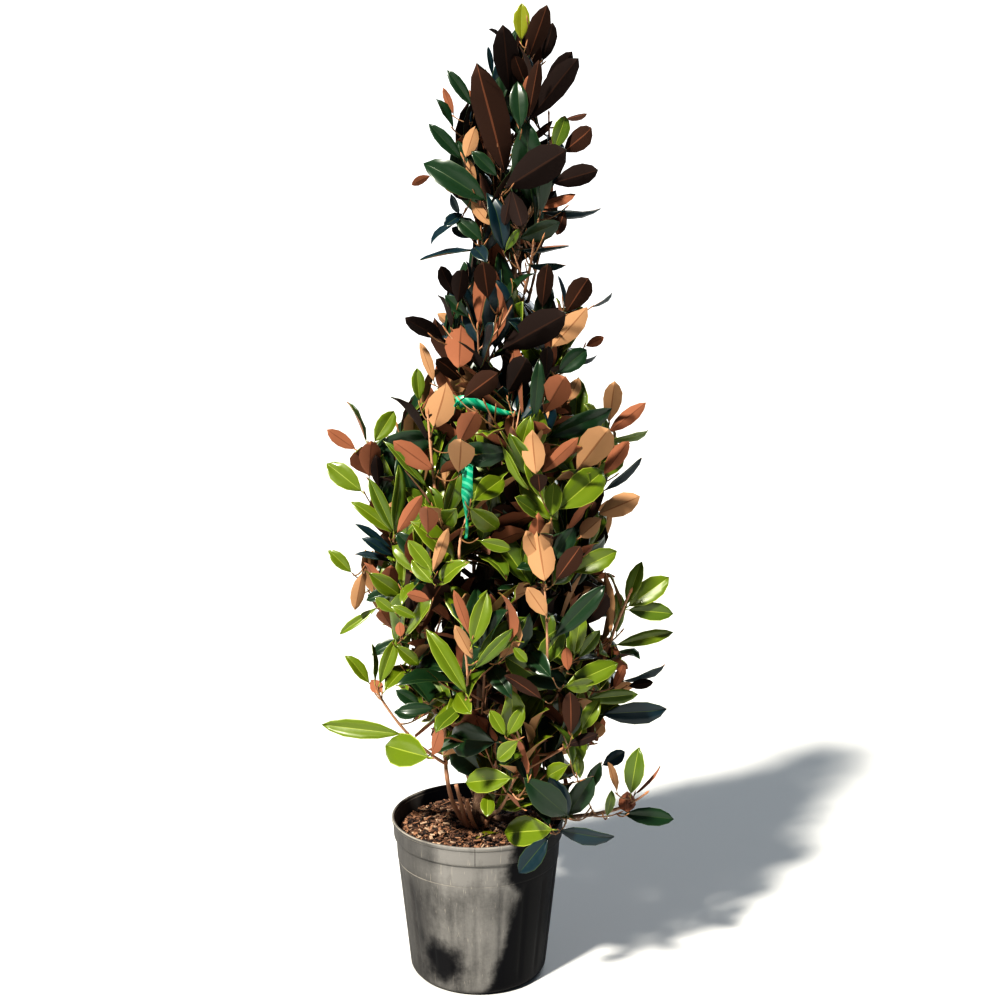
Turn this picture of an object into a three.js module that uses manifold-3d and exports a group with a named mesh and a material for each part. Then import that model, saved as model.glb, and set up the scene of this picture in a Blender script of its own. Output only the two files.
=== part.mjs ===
// A young evergreen magnolia in a black nursery pot: glossy leaves with rust-brown felt underneath, on steep
// boughs that rise from a single thin trunk. Millimetres, +Z up, origin at the centre of the pot's underside.
//
// The tree is a trunk, tiers of boughs, and one mass of foliage at the end of each bough and of the trunk.
// A mass is a stem with side shoots, and leaves set round each shoot in a spiral. Every leaf keeps to the space
// nearest its own stem, inside the crown's outline and clear of the wood and the pot.

import * as THREE from "three";
import { mergeVertices } from "three/addons/utils/BufferGeometryUtils.js";
import Module from "manifold-3d";

const wasm = await Module();
wasm.setup();

// ---------------------------------------------------------------- driving dimensions

const GAP = 0.3; // between solids that touch

const POT = {
  height: 400,
  rimRadius: 216,
  bead: 10, // height of the rolled edge at the top
  beadOver: 3, // how far it stands out from the collar
  collar: 49, // height of the collar, bead included
  collarTaper: 3, // narrowing of the collar, from its top to its foot
  band: 57, // plain band under the collar
  bandTaper: 4,
  wallTop: 201, // wall radius just under the band
  wallFoot: 172, // wall radius where it turns in to the foot
  footRadius: 150, // of the flat underside
  footRound: 22, // height of the rounded lower edge
  thick: 3.2, // wall
  floor: 4.2,
  flutes: 12,
  facets: 3, // facets of the wall to each flute
  fluteDepth: 4,
  fluteEnd: 10, // each flute stops this far from the band above it and the rounded edge below it
  drains: 6,
  drainRadius: 12,
  drainRing: 100,
};
const SOIL = { top: 366, mound: 8, moundRadius: 70, moundFoot: 150 };

// The trunk's centre line, from the soil to where the top mass begins. It leaves the soil upright.
const TRUNK = {
  foot: new THREE.Vector3(5, 0, SOIL.top + SOIL.mound + GAP),
  low: new THREE.Vector3(5, 0, 1000),
  high: new THREE.Vector3(80, -12, 1500),
  tip: new THREE.Vector3(110, 0, 2060),
  footRadius: 24,
  radius: 16,
  tipRadius: 4.4,
  flare: 0.04, // share of the length that flares out to the foot
  flareSteps: 3,
  steps: 16,
  sides: 9,
};

// Reach of the leaf tips from the trunk's line, by height.
const CROWN = [
  [330, 470],
  [420, 485],
  [560, 470],
  [650, 435],
  [950, 445],
  [1100, 405],
  [1380, 405],
  [1490, 275],
  [1640, 260],
  [1800, 225],
  [2010, 225],
  [2100, 190],
  [2225, 140],
  [2320, 90],
  [2346, 60],
];

// The side of the crown where the soil shows: below this height nothing reaches further from the trunk that way.
const OPEN_SIDE = { bearing: 205, height: 575, reach: 80 };

// Tiers of boughs, from the soil up. root and tip are heights (lowest, highest), reach is the tip's distance
// from the trunk's line, turn is the first bough's bearing in degrees from +X, apart is the angle from one bough
// to the next, and stem is the length of the stem that each of the tier's masses has.
const TIERS = [
  { name: "over_rim", count: 1, root: [388, 388], tip: [446, 446], reach: 305, turn: -16, apart: 0, stem: 110 },
  { name: "low", count: 3, root: [408, 440], tip: [480, 550], reach: 165, turn: -68, apart: 88, stem: 175 },
  { name: "lower", count: 5, root: [500, 590], tip: [640, 730], reach: 158, turn: -16, apart: 72, stem: 270 },
  { name: "middle", count: 5, root: [720, 830], tip: [870, 970], reach: 150, turn: 26, apart: 72, stem: 270 },
  { name: "upper", count: 4, root: [960, 1060], tip: [1105, 1190], reach: 140, turn: 5, apart: 90, stem: 260 },
  { name: "high", count: 3, root: [1260, 1340], tip: [1390, 1470], reach: 82, turn: -10, apart: 120, stem: 205 },
  { name: "top", count: 3, root: [1540, 1620], tip: [1660, 1740], reach: 68, turn: 58, apart: 120, stem: 190 },
  { name: "crest", count: 2, root: [1800, 1850], tip: [1890, 1935], reach: 46, turn: 150, apart: 180, stem: 135 },
];
const BOUGH = {
  radius: 7.4,
  tipRadius: 4.4,
  bend: 0.66, // how far out the bough goes before it turns up, as a share of its reach
  rise: 0.32, // how far it has risen there
  turnSpread: 7, // how much bearings differ from even spacing, in degrees
  reachSpread: 0.08,
  steps: 4,
  sides: 5,
  simplify: 0.3, // slivers up to this size are dropped where the trunk cuts the bough
};

const MASS = {
  leaderLength: 178,
  stemRadius: 4,
  stemRise: 0.35, // how far the stem has turned upwards by its end
  stemSteps: 2,
  shoots: 5,
  shootFrom: 0.15, // share of the stem where the lowest shoot springs
  shootTo: 0.75,
  shootLength: 120,
  shootAngle: 0.9, // from the stem, in radians
  shootRise: 0.4,
  shootSpread: 0.15, // how much shoots differ in length and angle
  shootRadius: 3,
  shootSteps: 1,
  tipRadius: 2,
  sides: 3,
  between: 1.5, // kept clear on each side of the border between two masses
  offLimb: 3,
  offPot: 8,
  simplify: 0.6, // slivers up to this size are dropped where leaves and twigs are fused
};
const LEAF = {
  length: 165,
  width: 72,
  thick: 3,
  fold: 0.24, // rise of the two halves from the midrib, for each unit across
  droop: 0.12, // how far the tip curls back, as a share of the length
  shared: 1, // cubic millimetres that a leaf may share with a leaf or twig beside it
  perStem: 9,
  perShoot: 4,
  tries: 14, // places tried for each leaf
  from: 0.1, // share of the twig where its lowest leaf springs
  to: 0.98,
  crowding: 0.7, // power that draws the leaves together towards the twig's tip
  openFoot: 1.25, // angle between leaf and twig at the twig's foot, in radians
  openTip: 0.35,
  openSpread: 0.2,
  sizeSpread: 0.14,
  steepHeight: 1400, // over this height above the pot the leaves change from spreading to steep
  openLow: 1.15, // how much wider than the angle above the lowest leaves stand
  openHigh: 0.8,
  sag: 0.3, // how far the lowest leaves may hang below the angle
  skyward: 0.6, // how far the lowest leaves turn their upper face to the sky
  tilt: 0.3, // how far the upper face is tilted at random
};
const SEED = 103;

const GOLDEN_ANGLE = Math.PI * (3 - Math.sqrt(5));
const GOLDEN_SHARE = (Math.sqrt(5) - 1) / 2;
const UP = new THREE.Vector3(0, 0, 1);

// ---------------------------------------------------------------- small tools

// Repeatable random numbers from 0 to 1.
function seeded(seed) {
  let state = seed >>> 0;
  return () => {
    state = (state + 0x6d2b79f5) >>> 0;
    let t = state;
    t = Math.imul(t ^ (t >>> 15), t | 1);
    t ^= t + Math.imul(t ^ (t >>> 7), t | 61);
    return ((t ^ (t >>> 14)) >>> 0) / 4294967296;
  };
}

const lerp = THREE.MathUtils.lerp;
const around = (random, share) => 1 + (random() * 2 - 1) * share;
const along = (from, direction, distance) => from.clone().addScaledVector(direction, distance);
const toward = (a, b, share) => a.clone().lerp(b, share).normalize();

// The level direction at a bearing in degrees, from +X towards +Y.
const bearing = (degrees) => new THREE.Vector3(1, 0, 0).applyAxisAngle(UP, THREE.MathUtils.degToRad(degrees));

// A side vector square to an axis, turned round it by an angle.
function sideOf(axis, angle) {
  const across = Math.abs(axis.z) < 0.95 ? UP : new THREE.Vector3(1, 0, 0);
  const u = new THREE.Vector3().crossVectors(across, axis).normalize();
  const v = new THREE.Vector3().crossVectors(axis, u);
  return u.multiplyScalar(Math.cos(angle)).addScaledVector(v, Math.sin(angle));
}

// A curve that leaves along a direction and has turned part of the way upwards by its end.
function risingCurve(start, direction, length, lift) {
  const middle = along(start, direction, length / 2);
  const end = along(middle, toward(direction, UP, lift), length / 2);
  return new THREE.QuadraticBezierCurve3(start, middle, end);
}

// The point at a share of a curve that is made of straight stretches.
function onStretches(curve, steps, share) {
  const stretch = Math.min(Math.floor(share * steps), steps - 1);
  return curve.getPoint(stretch / steps).lerp(curve.getPoint((stretch + 1) / steps), share * steps - stretch);
}

function distanceToSegment(p, a, b) {
  const span = b.clone().sub(a);
  const share = THREE.MathUtils.clamp(p.clone().sub(a).dot(span) / span.lengthSq(), 0, 1);
  return along(a, span, share).distanceTo(p);
}

function solidFrom(geometry) {
  const bare = geometry.clone();
  bare.deleteAttribute("normal");
  bare.deleteAttribute("uv");
  const merged = mergeVertices(bare, 1e-3);
  return new wasm.Manifold(
    new wasm.Mesh({
      numProp: 3,
      vertProperties: new Float32Array(merged.attributes.position.array),
      triVerts: new Uint32Array(merged.index.array),
    }),
  );
}

function geometryFrom(solid) {
  const { numVert, numProp, vertProperties, triVerts } = solid.getMesh();
  const position = new Float32Array(numVert * 3);
  for (let i = 0; i < numVert; i++) {
    position.set(vertProperties.subarray(i * numProp, i * numProp + 3), i * 3);
  }
  const geometry = new THREE.BufferGeometry();
  geometry.setAttribute("position", new THREE.BufferAttribute(position, 3));
  geometry.setIndex(new THREE.BufferAttribute(new Uint32Array(triVerts), 1));
  geometry.computeVertexNormals();
  return geometry;
}

// The largest body of a solid, without loose scraps or sealed hollows.
function largestBody(solid) {
  return solid.decompose().reduce((best, body) => (body.volume() > best.volume() ? body : best));
}

// Whether each edge still has one face on each side once vertices that lie together are merged.
function isClosed(solid) {
  const bare = geometryFrom(solid);
  bare.deleteAttribute("normal");
  const corners = mergeVertices(bare, 1e-3).index.array;
  const edges = new Set();
  let sides = 0;
  for (let i = 0; i < corners.length; i += 3) {
    const [a, b, c] = corners.slice(i, i + 3);
    if (a === b || b === c || c === a) continue;
    edges.add(`${a} ${b}`).add(`${b} ${c}`).add(`${c} ${a}`);
    sides += 3;
  }
  return edges.size === sides;
}

// A closed lathed shape about +Z, from its outline of [radius, height] points.
function lathed(outline, sides) {
  const points = outline.map(([radius, height]) => new THREE.Vector2(radius, height));
  return new THREE.LatheGeometry(points, sides).rotateX(Math.PI / 2);
}

// A round limb of changing radius along a curve: a lathed rod, bent to the curve.
function limbSolid(pointAt, tangentAt, radiusAt, sides, steps) {
  const shares = Array.from({ length: steps + 1 }, (_, i) => i / steps);
  const rod = lathed([[0, 0], ...shares.map((t) => [radiusAt(t), t]), [0, 1]], sides);
  const position = rod.attributes.position;
  for (let i = 0; i < position.count; i++) {
    const t = position.getZ(i);
    const axis = tangentAt(t);
    const u = sideOf(axis, 0);
    const v = new THREE.Vector3().crossVectors(axis, u);
    const point = pointAt(t).addScaledVector(u, position.getX(i)).addScaledVector(v, position.getY(i));
    position.setXYZ(i, point.x, point.y, point.z);
  }
  return solidFrom(rod);
}

const curvedLimb = (curve, radiusAt, sides, steps) =>
  limbSolid((t) => curve.getPoint(t), (t) => curve.getTangent(t), radiusAt, sides, steps);

// ---------------------------------------------------------------- pot and soil

const bandFoot = POT.height - POT.collar - POT.band;

// Radius of the fluted wall's outside at a height, on the ridges between the flutes.
const wallRadius = (z) => lerp(POT.wallFoot, POT.wallTop, (z - POT.footRound) / (bandFoot - POT.footRound));

// Presses the flutes into a lathed wall: the last corner of each flute's facets is set in.
function pressFlutes(geometry) {
  const position = geometry.attributes.position;
  const facet = (2 * Math.PI) / (POT.flutes * POT.facets);
  for (let i = 0; i < position.count; i++) {
    const height = position.getZ(i);
    const place = Math.round(Math.atan2(position.getY(i), position.getX(i)) / facet + POT.flutes * POT.facets);
    const setIn = place % POT.facets === POT.facets - 1;
    if (!setIn || height <= POT.footRound || height >= bandFoot) continue;
    const radius = Math.hypot(position.getX(i), position.getY(i));
    const share = 1 - POT.fluteDepth / radius;
    position.setX(i, position.getX(i) * share);
    position.setY(i, position.getY(i) * share);
  }
  return geometry;
}

// The pot's wall and floor, with drain holes through the floor.
function makePot() {
  const collarFoot = POT.height - POT.collar;
  const collarTop = POT.rimRadius - POT.beadOver;
  const bandTop = POT.wallTop + POT.bandTaper;
  const fluteFoot = POT.footRound + POT.fluteEnd;
  const fluteTop = bandFoot - POT.fluteEnd;
  const outside = [
    [POT.footRadius, 0],
    [lerp(POT.footRadius, POT.wallFoot, 0.65), POT.footRound * 0.32],
    [POT.wallFoot, POT.footRound],
    [wallRadius(fluteFoot), fluteFoot],
    [wallRadius(fluteTop), fluteTop],
    [POT.wallTop, bandFoot],
    [bandTop, collarFoot - 2],
    [collarTop - POT.collarTaper, collarFoot],
    [collarTop, POT.height - POT.bead],
    [POT.rimRadius, POT.height - POT.bead + 2],
    [POT.rimRadius, POT.height],
  ];
  const inside = [
    [collarTop - POT.thick, POT.height],
    [bandTop - POT.thick, collarFoot],
    [POT.wallTop - POT.thick, bandFoot],
    [wallRadius(fluteTop) - POT.thick, fluteTop],
    [wallRadius(fluteFoot) - POT.thick, fluteFoot],
    [POT.wallFoot - POT.thick, POT.footRound],
    [POT.footRadius, POT.floor],
  ];
  const outline = [[0, 0], ...outside, ...inside, [0, POT.floor]];
  const shell = solidFrom(pressFlutes(lathed(outline, POT.flutes * POT.facets)));
  const holes = Array.from({ length: POT.drains }, (_, i) =>
    solidFrom(
      new THREE.CylinderGeometry(POT.drainRadius, POT.drainRadius, POT.floor * 3, 8)
        .rotateX(Math.PI / 2)
        .translate(POT.drainRing, 0, 0)
        .rotateZ((2 * Math.PI * i) / POT.drains),
    ),
  );
  return shell.subtract(wasm.Manifold.union(holes));
}

// The potting mix: it fills the pot to a little under the rim, with a low flat mound under the trunk.
function makeSoil() {
  const clear = POT.thick + POT.fluteDepth + GAP;
  const floor = POT.floor + GAP;
  const outline = [
    [0, floor],
    [POT.footRadius - clear, floor],
    [POT.wallFoot - clear, POT.footRound + POT.fluteEnd],
    [POT.wallTop - clear, bandFoot],
    [POT.wallTop + POT.bandTaper - clear, SOIL.top - SOIL.mound],
    [SOIL.moundFoot, SOIL.top],
    [SOIL.moundRadius, SOIL.top + SOIL.mound],
    [0, SOIL.top + SOIL.mound],
  ];
  return solidFrom(lathed(outline, POT.flutes * 2));
}

// ---------------------------------------------------------------- trunk and boughs

const trunkCurve = new THREE.CubicBezierCurve3(TRUNK.foot, TRUNK.low, TRUNK.high, TRUNK.tip);

function trunkRadius(t) {
  const flare = Math.max(0, 1 - t / TRUNK.flare);
  return lerp(TRUNK.radius, TRUNK.tipRadius, t) + (TRUNK.footRadius - TRUNK.radius) * flare * flare;
}

// The trunk's line at a height. It only rises, so halving finds the place.
function trunkAt(height) {
  let low = 0;
  let high = 1;
  for (let i = 0; i < 24; i++) {
    const middle = (low + high) / 2;
    if (trunkCurve.getPoint(middle).z < height) low = middle;
    else high = middle;
  }
  return trunkCurve.getPoint(low);
}

// The trunk, swollen by an extra radius where it cuts other wood, with close rings in the flare.
function makeTrunk(extra = 0) {
  const rings = TRUNK.flareSteps + TRUNK.steps;
  const spaced = (t) => {
    const ring = t * rings;
    return ring < TRUNK.flareSteps
      ? (ring / TRUNK.flareSteps) * TRUNK.flare
      : lerp(TRUNK.flare, 1, (ring - TRUNK.flareSteps) / TRUNK.steps);
  };
  return limbSolid(
    (t) => trunkCurve.getPoint(spaced(t)),
    (t) => trunkCurve.getTangent(spaced(t)),
    (t) => trunkRadius(spaced(t)) + extra,
    TRUNK.sides,
    rings,
  );
}

// A bough's centre line: it leaves the trunk outwards, then turns up to its tip.
function boughLine(name, stem, rootHeight, tipHeight, reach, degrees) {
  const out = bearing(degrees);
  const root = trunkAt(rootHeight);
  const tip = along(trunkAt(tipHeight), out, reach).setZ(tipHeight);
  const bend = along(root, out, reach * BOUGH.bend).setZ(lerp(rootHeight, tipHeight, BOUGH.rise));
  return { name, stem, curve: new THREE.QuadraticBezierCurve3(root, bend, tip) };
}

// Every bough's centre line, worked out from the tiers.
function boughLines() {
  const random = seeded(SEED);
  const lines = [];
  for (const tier of TIERS) {
    for (let i = 0; i < tier.count; i++) {
      const share = (i * GOLDEN_SHARE) % 1;
      const rootHeight = lerp(tier.root[0], tier.root[1], share);
      const tipHeight = lerp(tier.tip[0], tier.tip[1], share);
      const degrees = tier.turn + tier.apart * i + (random() * 2 - 1) * BOUGH.turnSpread;
      const reach = tier.reach * around(random, BOUGH.reachSpread);
      lines.push(boughLine(`${tier.name}_${i + 1}`, tier.stem, rootHeight, tipHeight, reach, degrees));
    }
  }
  return lines;
}

const boughRadius = (t) => lerp(BOUGH.radius, BOUGH.tipRadius, t);

// A bough, cut back from the trunk where it springs from it.
function makeBough(line, trunkSpace) {
  const limb = curvedLimb(line.curve, boughRadius, BOUGH.sides, BOUGH.steps);
  return largestBody(limb.subtract(trunkSpace).asOriginal().simplify(BOUGH.simplify));
}

// ---------------------------------------------------------------- the spaces of the masses

// Each mass, with the line of its stem.
function massLines(boughs) {
  const grown = (name, curve, length) => {
    const axis = curve.getTangent(1);
    return { name, stem: risingCurve(along(curve.getPoint(1), axis, GAP), axis, length, MASS.stemRise) };
  };
  return [
    ...boughs.map(({ name, curve, stem }) => grown(name, curve, stem)),
    grown("leader", trunkCurve, MASS.leaderLength),
  ];
}

// Reach of the crown at a height, and none above or below it.
function crownReach(height) {
  const i = CROWN.findIndex(([z]) => z >= height);
  if (i < 1) return 0;
  const [lowHeight, lowReach] = CROWN[i - 1];
  const [highHeight, highReach] = CROWN[i];
  return lerp(lowReach, highReach, (height - lowHeight) / (highHeight - lowHeight));
}

// The straight stretches of the wood, each with its radius.
function woodStretches(curve, radiusAt, steps) {
  return Array.from({ length: steps }, (_, i) => ({
    from: curve.getPoint(i / steps),
    to: curve.getPoint((i + 1) / steps),
    radius: radiusAt(i / steps),
  }));
}

const openSide = bearing(OPEN_SIDE.bearing);

function isInCrown(p) {
  const out = p.clone().sub(trunkAt(Math.min(p.z, TRUNK.tip.z))).setZ(0);
  const isOpen = p.z < OPEN_SIDE.height && out.dot(openSide) > OPEN_SIDE.reach;
  return !isOpen && out.length() < crownReach(p.z);
}

const isOffPot = (p) => p.z > POT.height + MASS.offPot || Math.hypot(p.x, p.y) > POT.rimRadius + MASS.offPot;

function isOwn(p, own, masses) {
  const near = distanceToSegment(p, own.stem.v0, own.stem.v2) + 2 * MASS.between;
  return masses.every((m) => m === own || distanceToSegment(p, m.stem.v0, m.stem.v2) > near);
}

const isOffWood = (p, wood, margin) =>
  wood.every(({ from, to, radius }) => distanceToSegment(p, from, to) > radius + margin);

// ---------------------------------------------------------------- foliage

// A leaf's place: its root, u along the midrib, w across it, and v out of the glossy upper face.
function leafPlace(root, direction, face, size) {
  const u = direction.clone().normalize();
  const v = face.clone().addScaledVector(u, -face.dot(u)).normalize();
  return { root, u, v, w: new THREE.Vector3().crossVectors(v, u), size };
}

// A point on a leaf, at a share of its length and of its half width, above or below the folded, drooping blade.
function onLeaf(leaf, share, side, lift = 0) {
  const length = LEAF.length * leaf.size;
  const across = (side * LEAF.width * leaf.size * Math.sin(Math.PI * share ** 0.9) ** 0.8) / 2;
  return along(leaf.root, leaf.u, share * length)
    .addScaledVector(leaf.w, across)
    .addScaledVector(leaf.v, Math.abs(across) * LEAF.fold - LEAF.droop * length * share * share + lift);
}

// A leaf as a closed solid of twelve faces: its root, two points on each edge, the tip, and a ridge on each face.
function leafSolid(leaf) {
  const points = [
    onLeaf(leaf, 0, 0),
    onLeaf(leaf, 0.38, -1),
    onLeaf(leaf, 0.38, 1),
    onLeaf(leaf, 0.74, -1),
    onLeaf(leaf, 0.74, 1),
    onLeaf(leaf, 1, 0),
    onLeaf(leaf, 0.35, 0, LEAF.thick / 2),
    onLeaf(leaf, 0.35, 0, -LEAF.thick / 2),
  ];
  const upper = [[6, 0, 1], [6, 1, 3], [6, 3, 5], [6, 5, 4], [6, 4, 2], [6, 2, 0]];
  const under = [[7, 1, 0], [7, 3, 1], [7, 5, 3], [7, 4, 5], [7, 2, 4], [7, 0, 2]];
  const geometry = new THREE.BufferGeometry().setFromPoints(points);
  geometry.setIndex([...upper, ...under].flat());
  return solidFrom(geometry);
}

// Points spread over a leaf's blade, for the tests of its space.
function leafPoints(leaf) {
  const shares = [0.2, 0.35, 0.5, 0.65, 0.8, 0.9, 1];
  return shares.flatMap((share) => [-1, -0.4, 0.4, 1].map((side) => onLeaf(leaf, share, side)));
}

// The side shoots of a stem, each leaving at an angle and turning upwards.
function shootCurves(stem, random) {
  const start = random() * 2 * Math.PI;
  return Array.from({ length: MASS.shoots }, (_, i) => {
    const share = lerp(MASS.shootFrom, MASS.shootTo, i / (MASS.shoots - 1));
    const angle = MASS.shootAngle * around(random, MASS.shootSpread);
    const side = sideOf(stem.getTangent(share), start + i * GOLDEN_ANGLE);
    const direction = stem.getTangent(share).multiplyScalar(Math.cos(angle)).addScaledVector(side, Math.sin(angle));
    const root = onStretches(stem, MASS.stemSteps, share);
    const length = MASS.shootLength * around(random, MASS.shootSpread);
    return risingCurve(root, direction, length, MASS.shootRise);
  });
}

// One place for a leaf on a shoot. Leaves at the shoot's end and high in the crown stand closer to the shoot.
function placeLeaf({ curve, steps }, share, turn, random) {
  const root = onStretches(curve, steps, share);
  const axis = curve.getTangent(share);
  const lowness = THREE.MathUtils.clamp(1 - (root.z - POT.height) / LEAF.steepHeight, 0, 1);
  const wider = lerp(LEAF.openHigh, LEAF.openLow, lowness) * around(random, LEAF.openSpread);
  const open = lerp(LEAF.openFoot, LEAF.openTip, share ** 2) * wider;
  const side = sideOf(axis, turn);
  const direction = axis.clone().multiplyScalar(Math.cos(open)).addScaledVector(side, Math.sin(open));
  direction.z -= LEAF.sag * lowness * random();
  const tilt = sideOf(axis, random() * 2 * Math.PI);
  const face = toward(axis, UP, LEAF.skyward * lowness).addScaledVector(tilt, LEAF.tilt);
  return leafPlace(root, direction, face, around(random, LEAF.sizeSpread));
}

// The leaves of one twig: a spiral that closes up to a rosette at the tip, less those with no room.
function growLeaves(twig, count, random, fits) {
  const leaves = [];
  let turn = random() * 2 * Math.PI;
  for (let i = 0; i < count; i++) {
    const share = lerp(LEAF.from, LEAF.to, ((i + 0.5) / count) ** LEAF.crowding);
    for (let tried = 0; tried < LEAF.tries; tried++) {
      turn += GOLDEN_ANGLE;
      const place = placeLeaf(twig, share, turn, random);
      if (!fits(leafPoints(place), MASS.offLimb)) continue;
      const leaf = leafSolid(place);
      if (twig.others.some((other) => leaf.intersect(other).volume() > LEAF.shared)) continue;
      twig.others.push(leaf);
      leaves.push(leaf);
      break;
    }
  }
  return leaves;
}

// One mass of foliage, fused into a single body.
function makeMass(mass, index, masses, wood) {
  const fits = (points, offWood) =>
    points.every(isInCrown) &&
    points.every(isOffPot) &&
    points.every((p) => isOwn(p, mass, masses)) &&
    points.every((p) => isOffWood(p, wood, offWood));
  const hasRoom = (curve) => {
    const points = [0.3, 0.65, 1].map((t) => curve.getPoint(t));
    return fits(points, MASS.shootRadius + MASS.offLimb);
  };
  const shoots = shootCurves(mass.stem, seeded(SEED + 100 + index)).filter(hasRoom);
  const twigs = [
    { curve: mass.stem, radius: MASS.stemRadius, steps: MASS.stemSteps, leaves: LEAF.perStem },
    ...shoots.map((curve) => ({
      curve,
      radius: MASS.shootRadius,
      steps: MASS.shootSteps,
      leaves: LEAF.perShoot,
    })),
  ];
  const solids = twigs.map(({ curve, radius, steps }) =>
    curvedLimb(curve, (t) => lerp(radius, MASS.tipRadius, t), MASS.sides, steps),
  );
  const random = seeded(SEED + 200 + index);
  const leaves = [];
  twigs.forEach((twig, i) => {
    const others = [...solids.filter((_, other) => other !== i), ...leaves];
    leaves.push(...growLeaves({ ...twig, others }, twig.leaves, random, fits));
  });
  return fuseMass(solids, leaves);
}

// Fuses twigs and leaves. Where two leaves just graze each other the last one goes, until the solid closes.
function fuseMass(twigs, leaves) {
  for (let kept = leaves.length; kept > 0; kept--) {
    const fused = wasm.Manifold.union([...twigs, ...leaves.slice(0, kept)]);
    const body = largestBody(fused.asOriginal().simplify(MASS.simplify));
    if (isClosed(body)) return body;
  }
  throw new Error("a mass of foliage did not close");
}

// ---------------------------------------------------------------- materials and assembly

const materials = {
  pot: new THREE.MeshStandardMaterial({ color: 0x4a4642, roughness: 0.72, metalness: 0 }),
  soil: new THREE.MeshStandardMaterial({ color: 0x5a3a26, roughness: 0.95, metalness: 0 }),
  bark: new THREE.MeshStandardMaterial({ color: 0x8a6549, roughness: 0.85, metalness: 0 }),
  foliage: new THREE.MeshStandardMaterial({ color: 0x4c6b24, roughness: 0.38, metalness: 0 }),
};

const tree = new THREE.Group();

function addNode(name, solid, material) {
  const mesh = new THREE.Mesh(geometryFrom(solid), material);
  mesh.name = name;
  tree.add(mesh);
}

addNode("pot", makePot(), materials.pot);
addNode("soil", makeSoil(), materials.soil);
addNode("trunk", makeTrunk(), materials.bark);

const boughs = boughLines();
const trunkSpace = makeTrunk(GAP);
boughs.forEach((line) => addNode(`bough_${line.name}`, makeBough(line, trunkSpace), materials.bark));

const masses = massLines(boughs);
const wood = [
  ...woodStretches(trunkCurve, trunkRadius, TRUNK.steps),
  ...boughs.flatMap(({ curve }) => woodStretches(curve, boughRadius, BOUGH.steps)),
];
masses.forEach((mass, index) => {
  addNode(`foliage_${mass.name}`, makeMass(mass, index, masses, wood), materials.foliage);
});

export default tree;
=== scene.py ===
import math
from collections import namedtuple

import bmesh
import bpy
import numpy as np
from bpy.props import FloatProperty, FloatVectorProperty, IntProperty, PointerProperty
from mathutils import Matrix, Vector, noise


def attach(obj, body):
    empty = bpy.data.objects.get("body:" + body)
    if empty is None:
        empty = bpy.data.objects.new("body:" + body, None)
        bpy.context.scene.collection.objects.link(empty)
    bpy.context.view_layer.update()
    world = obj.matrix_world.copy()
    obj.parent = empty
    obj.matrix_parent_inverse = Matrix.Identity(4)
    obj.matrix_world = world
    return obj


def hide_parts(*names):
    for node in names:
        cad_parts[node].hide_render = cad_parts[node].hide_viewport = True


bl_info = {
    "name": "Potted magnolia",
    "version": (1, 0, 0),
    "blender": (4, 5, 0),
    "location": "3D View > Sidebar > Magnolia",
    "description": "Bark, twigs, leaves, pot and soil of a young evergreen magnolia",
    "category": "Object",
}

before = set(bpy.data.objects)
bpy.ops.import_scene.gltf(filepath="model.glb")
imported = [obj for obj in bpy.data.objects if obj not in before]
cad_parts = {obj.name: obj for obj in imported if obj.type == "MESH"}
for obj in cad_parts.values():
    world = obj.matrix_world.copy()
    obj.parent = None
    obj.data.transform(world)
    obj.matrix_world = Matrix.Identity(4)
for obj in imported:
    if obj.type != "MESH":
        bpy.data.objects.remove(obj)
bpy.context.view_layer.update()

UP = Vector((0, 0, 1))
GOLDEN_ANGLE = math.pi * (3 - math.sqrt(5))
GOLDEN_SHARE = (math.sqrt(5) - 1) / 2


# ---------------------------------------------------------------- sizes of the plant, in metres

GAP = 0.0003
RIM_RADIUS = 0.216
RIM_HEIGHT = 0.400
SOIL_TOP = 0.366
MOUND_TOP = 0.374
SEED = 103

# The trunk's centre line as a cubic curve, its radii, and the share of its length that flares to the foot.
TRUNK_LINE = [(0.005, 0, 0.3743), (0.005, 0, 1.0), (0.080, -0.012, 1.5), (0.110, 0, 2.060)]
TRUNK_FOOT, TRUNK_RADIUS, TRUNK_TIP, TRUNK_FLARE = 0.024, 0.016, 0.0044, 0.04

# Reach of the leaf tips from the trunk's line, by height.
CROWN = [
    (0.330, 0.470),
    (0.420, 0.485),
    (0.560, 0.470),
    (0.650, 0.435),
    (0.950, 0.445),
    (1.100, 0.405),
    (1.380, 0.405),
    (1.490, 0.275),
    (1.640, 0.260),
    (1.800, 0.225),
    (2.010, 0.225),
    (2.100, 0.190),
    (2.225, 0.140),
    (2.320, 0.090),
    (2.346, 0.060),
]
OPEN_BEARING, OPEN_HEIGHT, OPEN_REACH = 205, 0.575, 0.080

Tier = namedtuple("Tier", "name count root tip reach turn apart stem")
TIERS = [
    Tier("over_rim", 1, (0.388, 0.388), (0.446, 0.446), 0.305, -16, 0, 0.110),
    Tier("low", 3, (0.408, 0.440), (0.480, 0.550), 0.165, -68, 88, 0.175),
    Tier("lower", 5, (0.500, 0.590), (0.640, 0.730), 0.158, -16, 72, 0.270),
    Tier("middle", 5, (0.720, 0.830), (0.870, 0.970), 0.150, 26, 72, 0.270),
    Tier("upper", 4, (0.960, 1.060), (1.105, 1.190), 0.140, 5, 90, 0.260),
    Tier("high", 3, (1.260, 1.340), (1.390, 1.470), 0.082, -10, 120, 0.205),
    Tier("top", 3, (1.540, 1.620), (1.660, 1.740), 0.068, 58, 120, 0.190),
    Tier("crest", 2, (1.800, 1.850), (1.890, 1.935), 0.046, 150, 180, 0.135),
]
BOUGH_RADIUS, BOUGH_TIP, BOUGH_BEND, BOUGH_RISE = 0.0074, 0.0044, 0.66, 0.32
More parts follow.
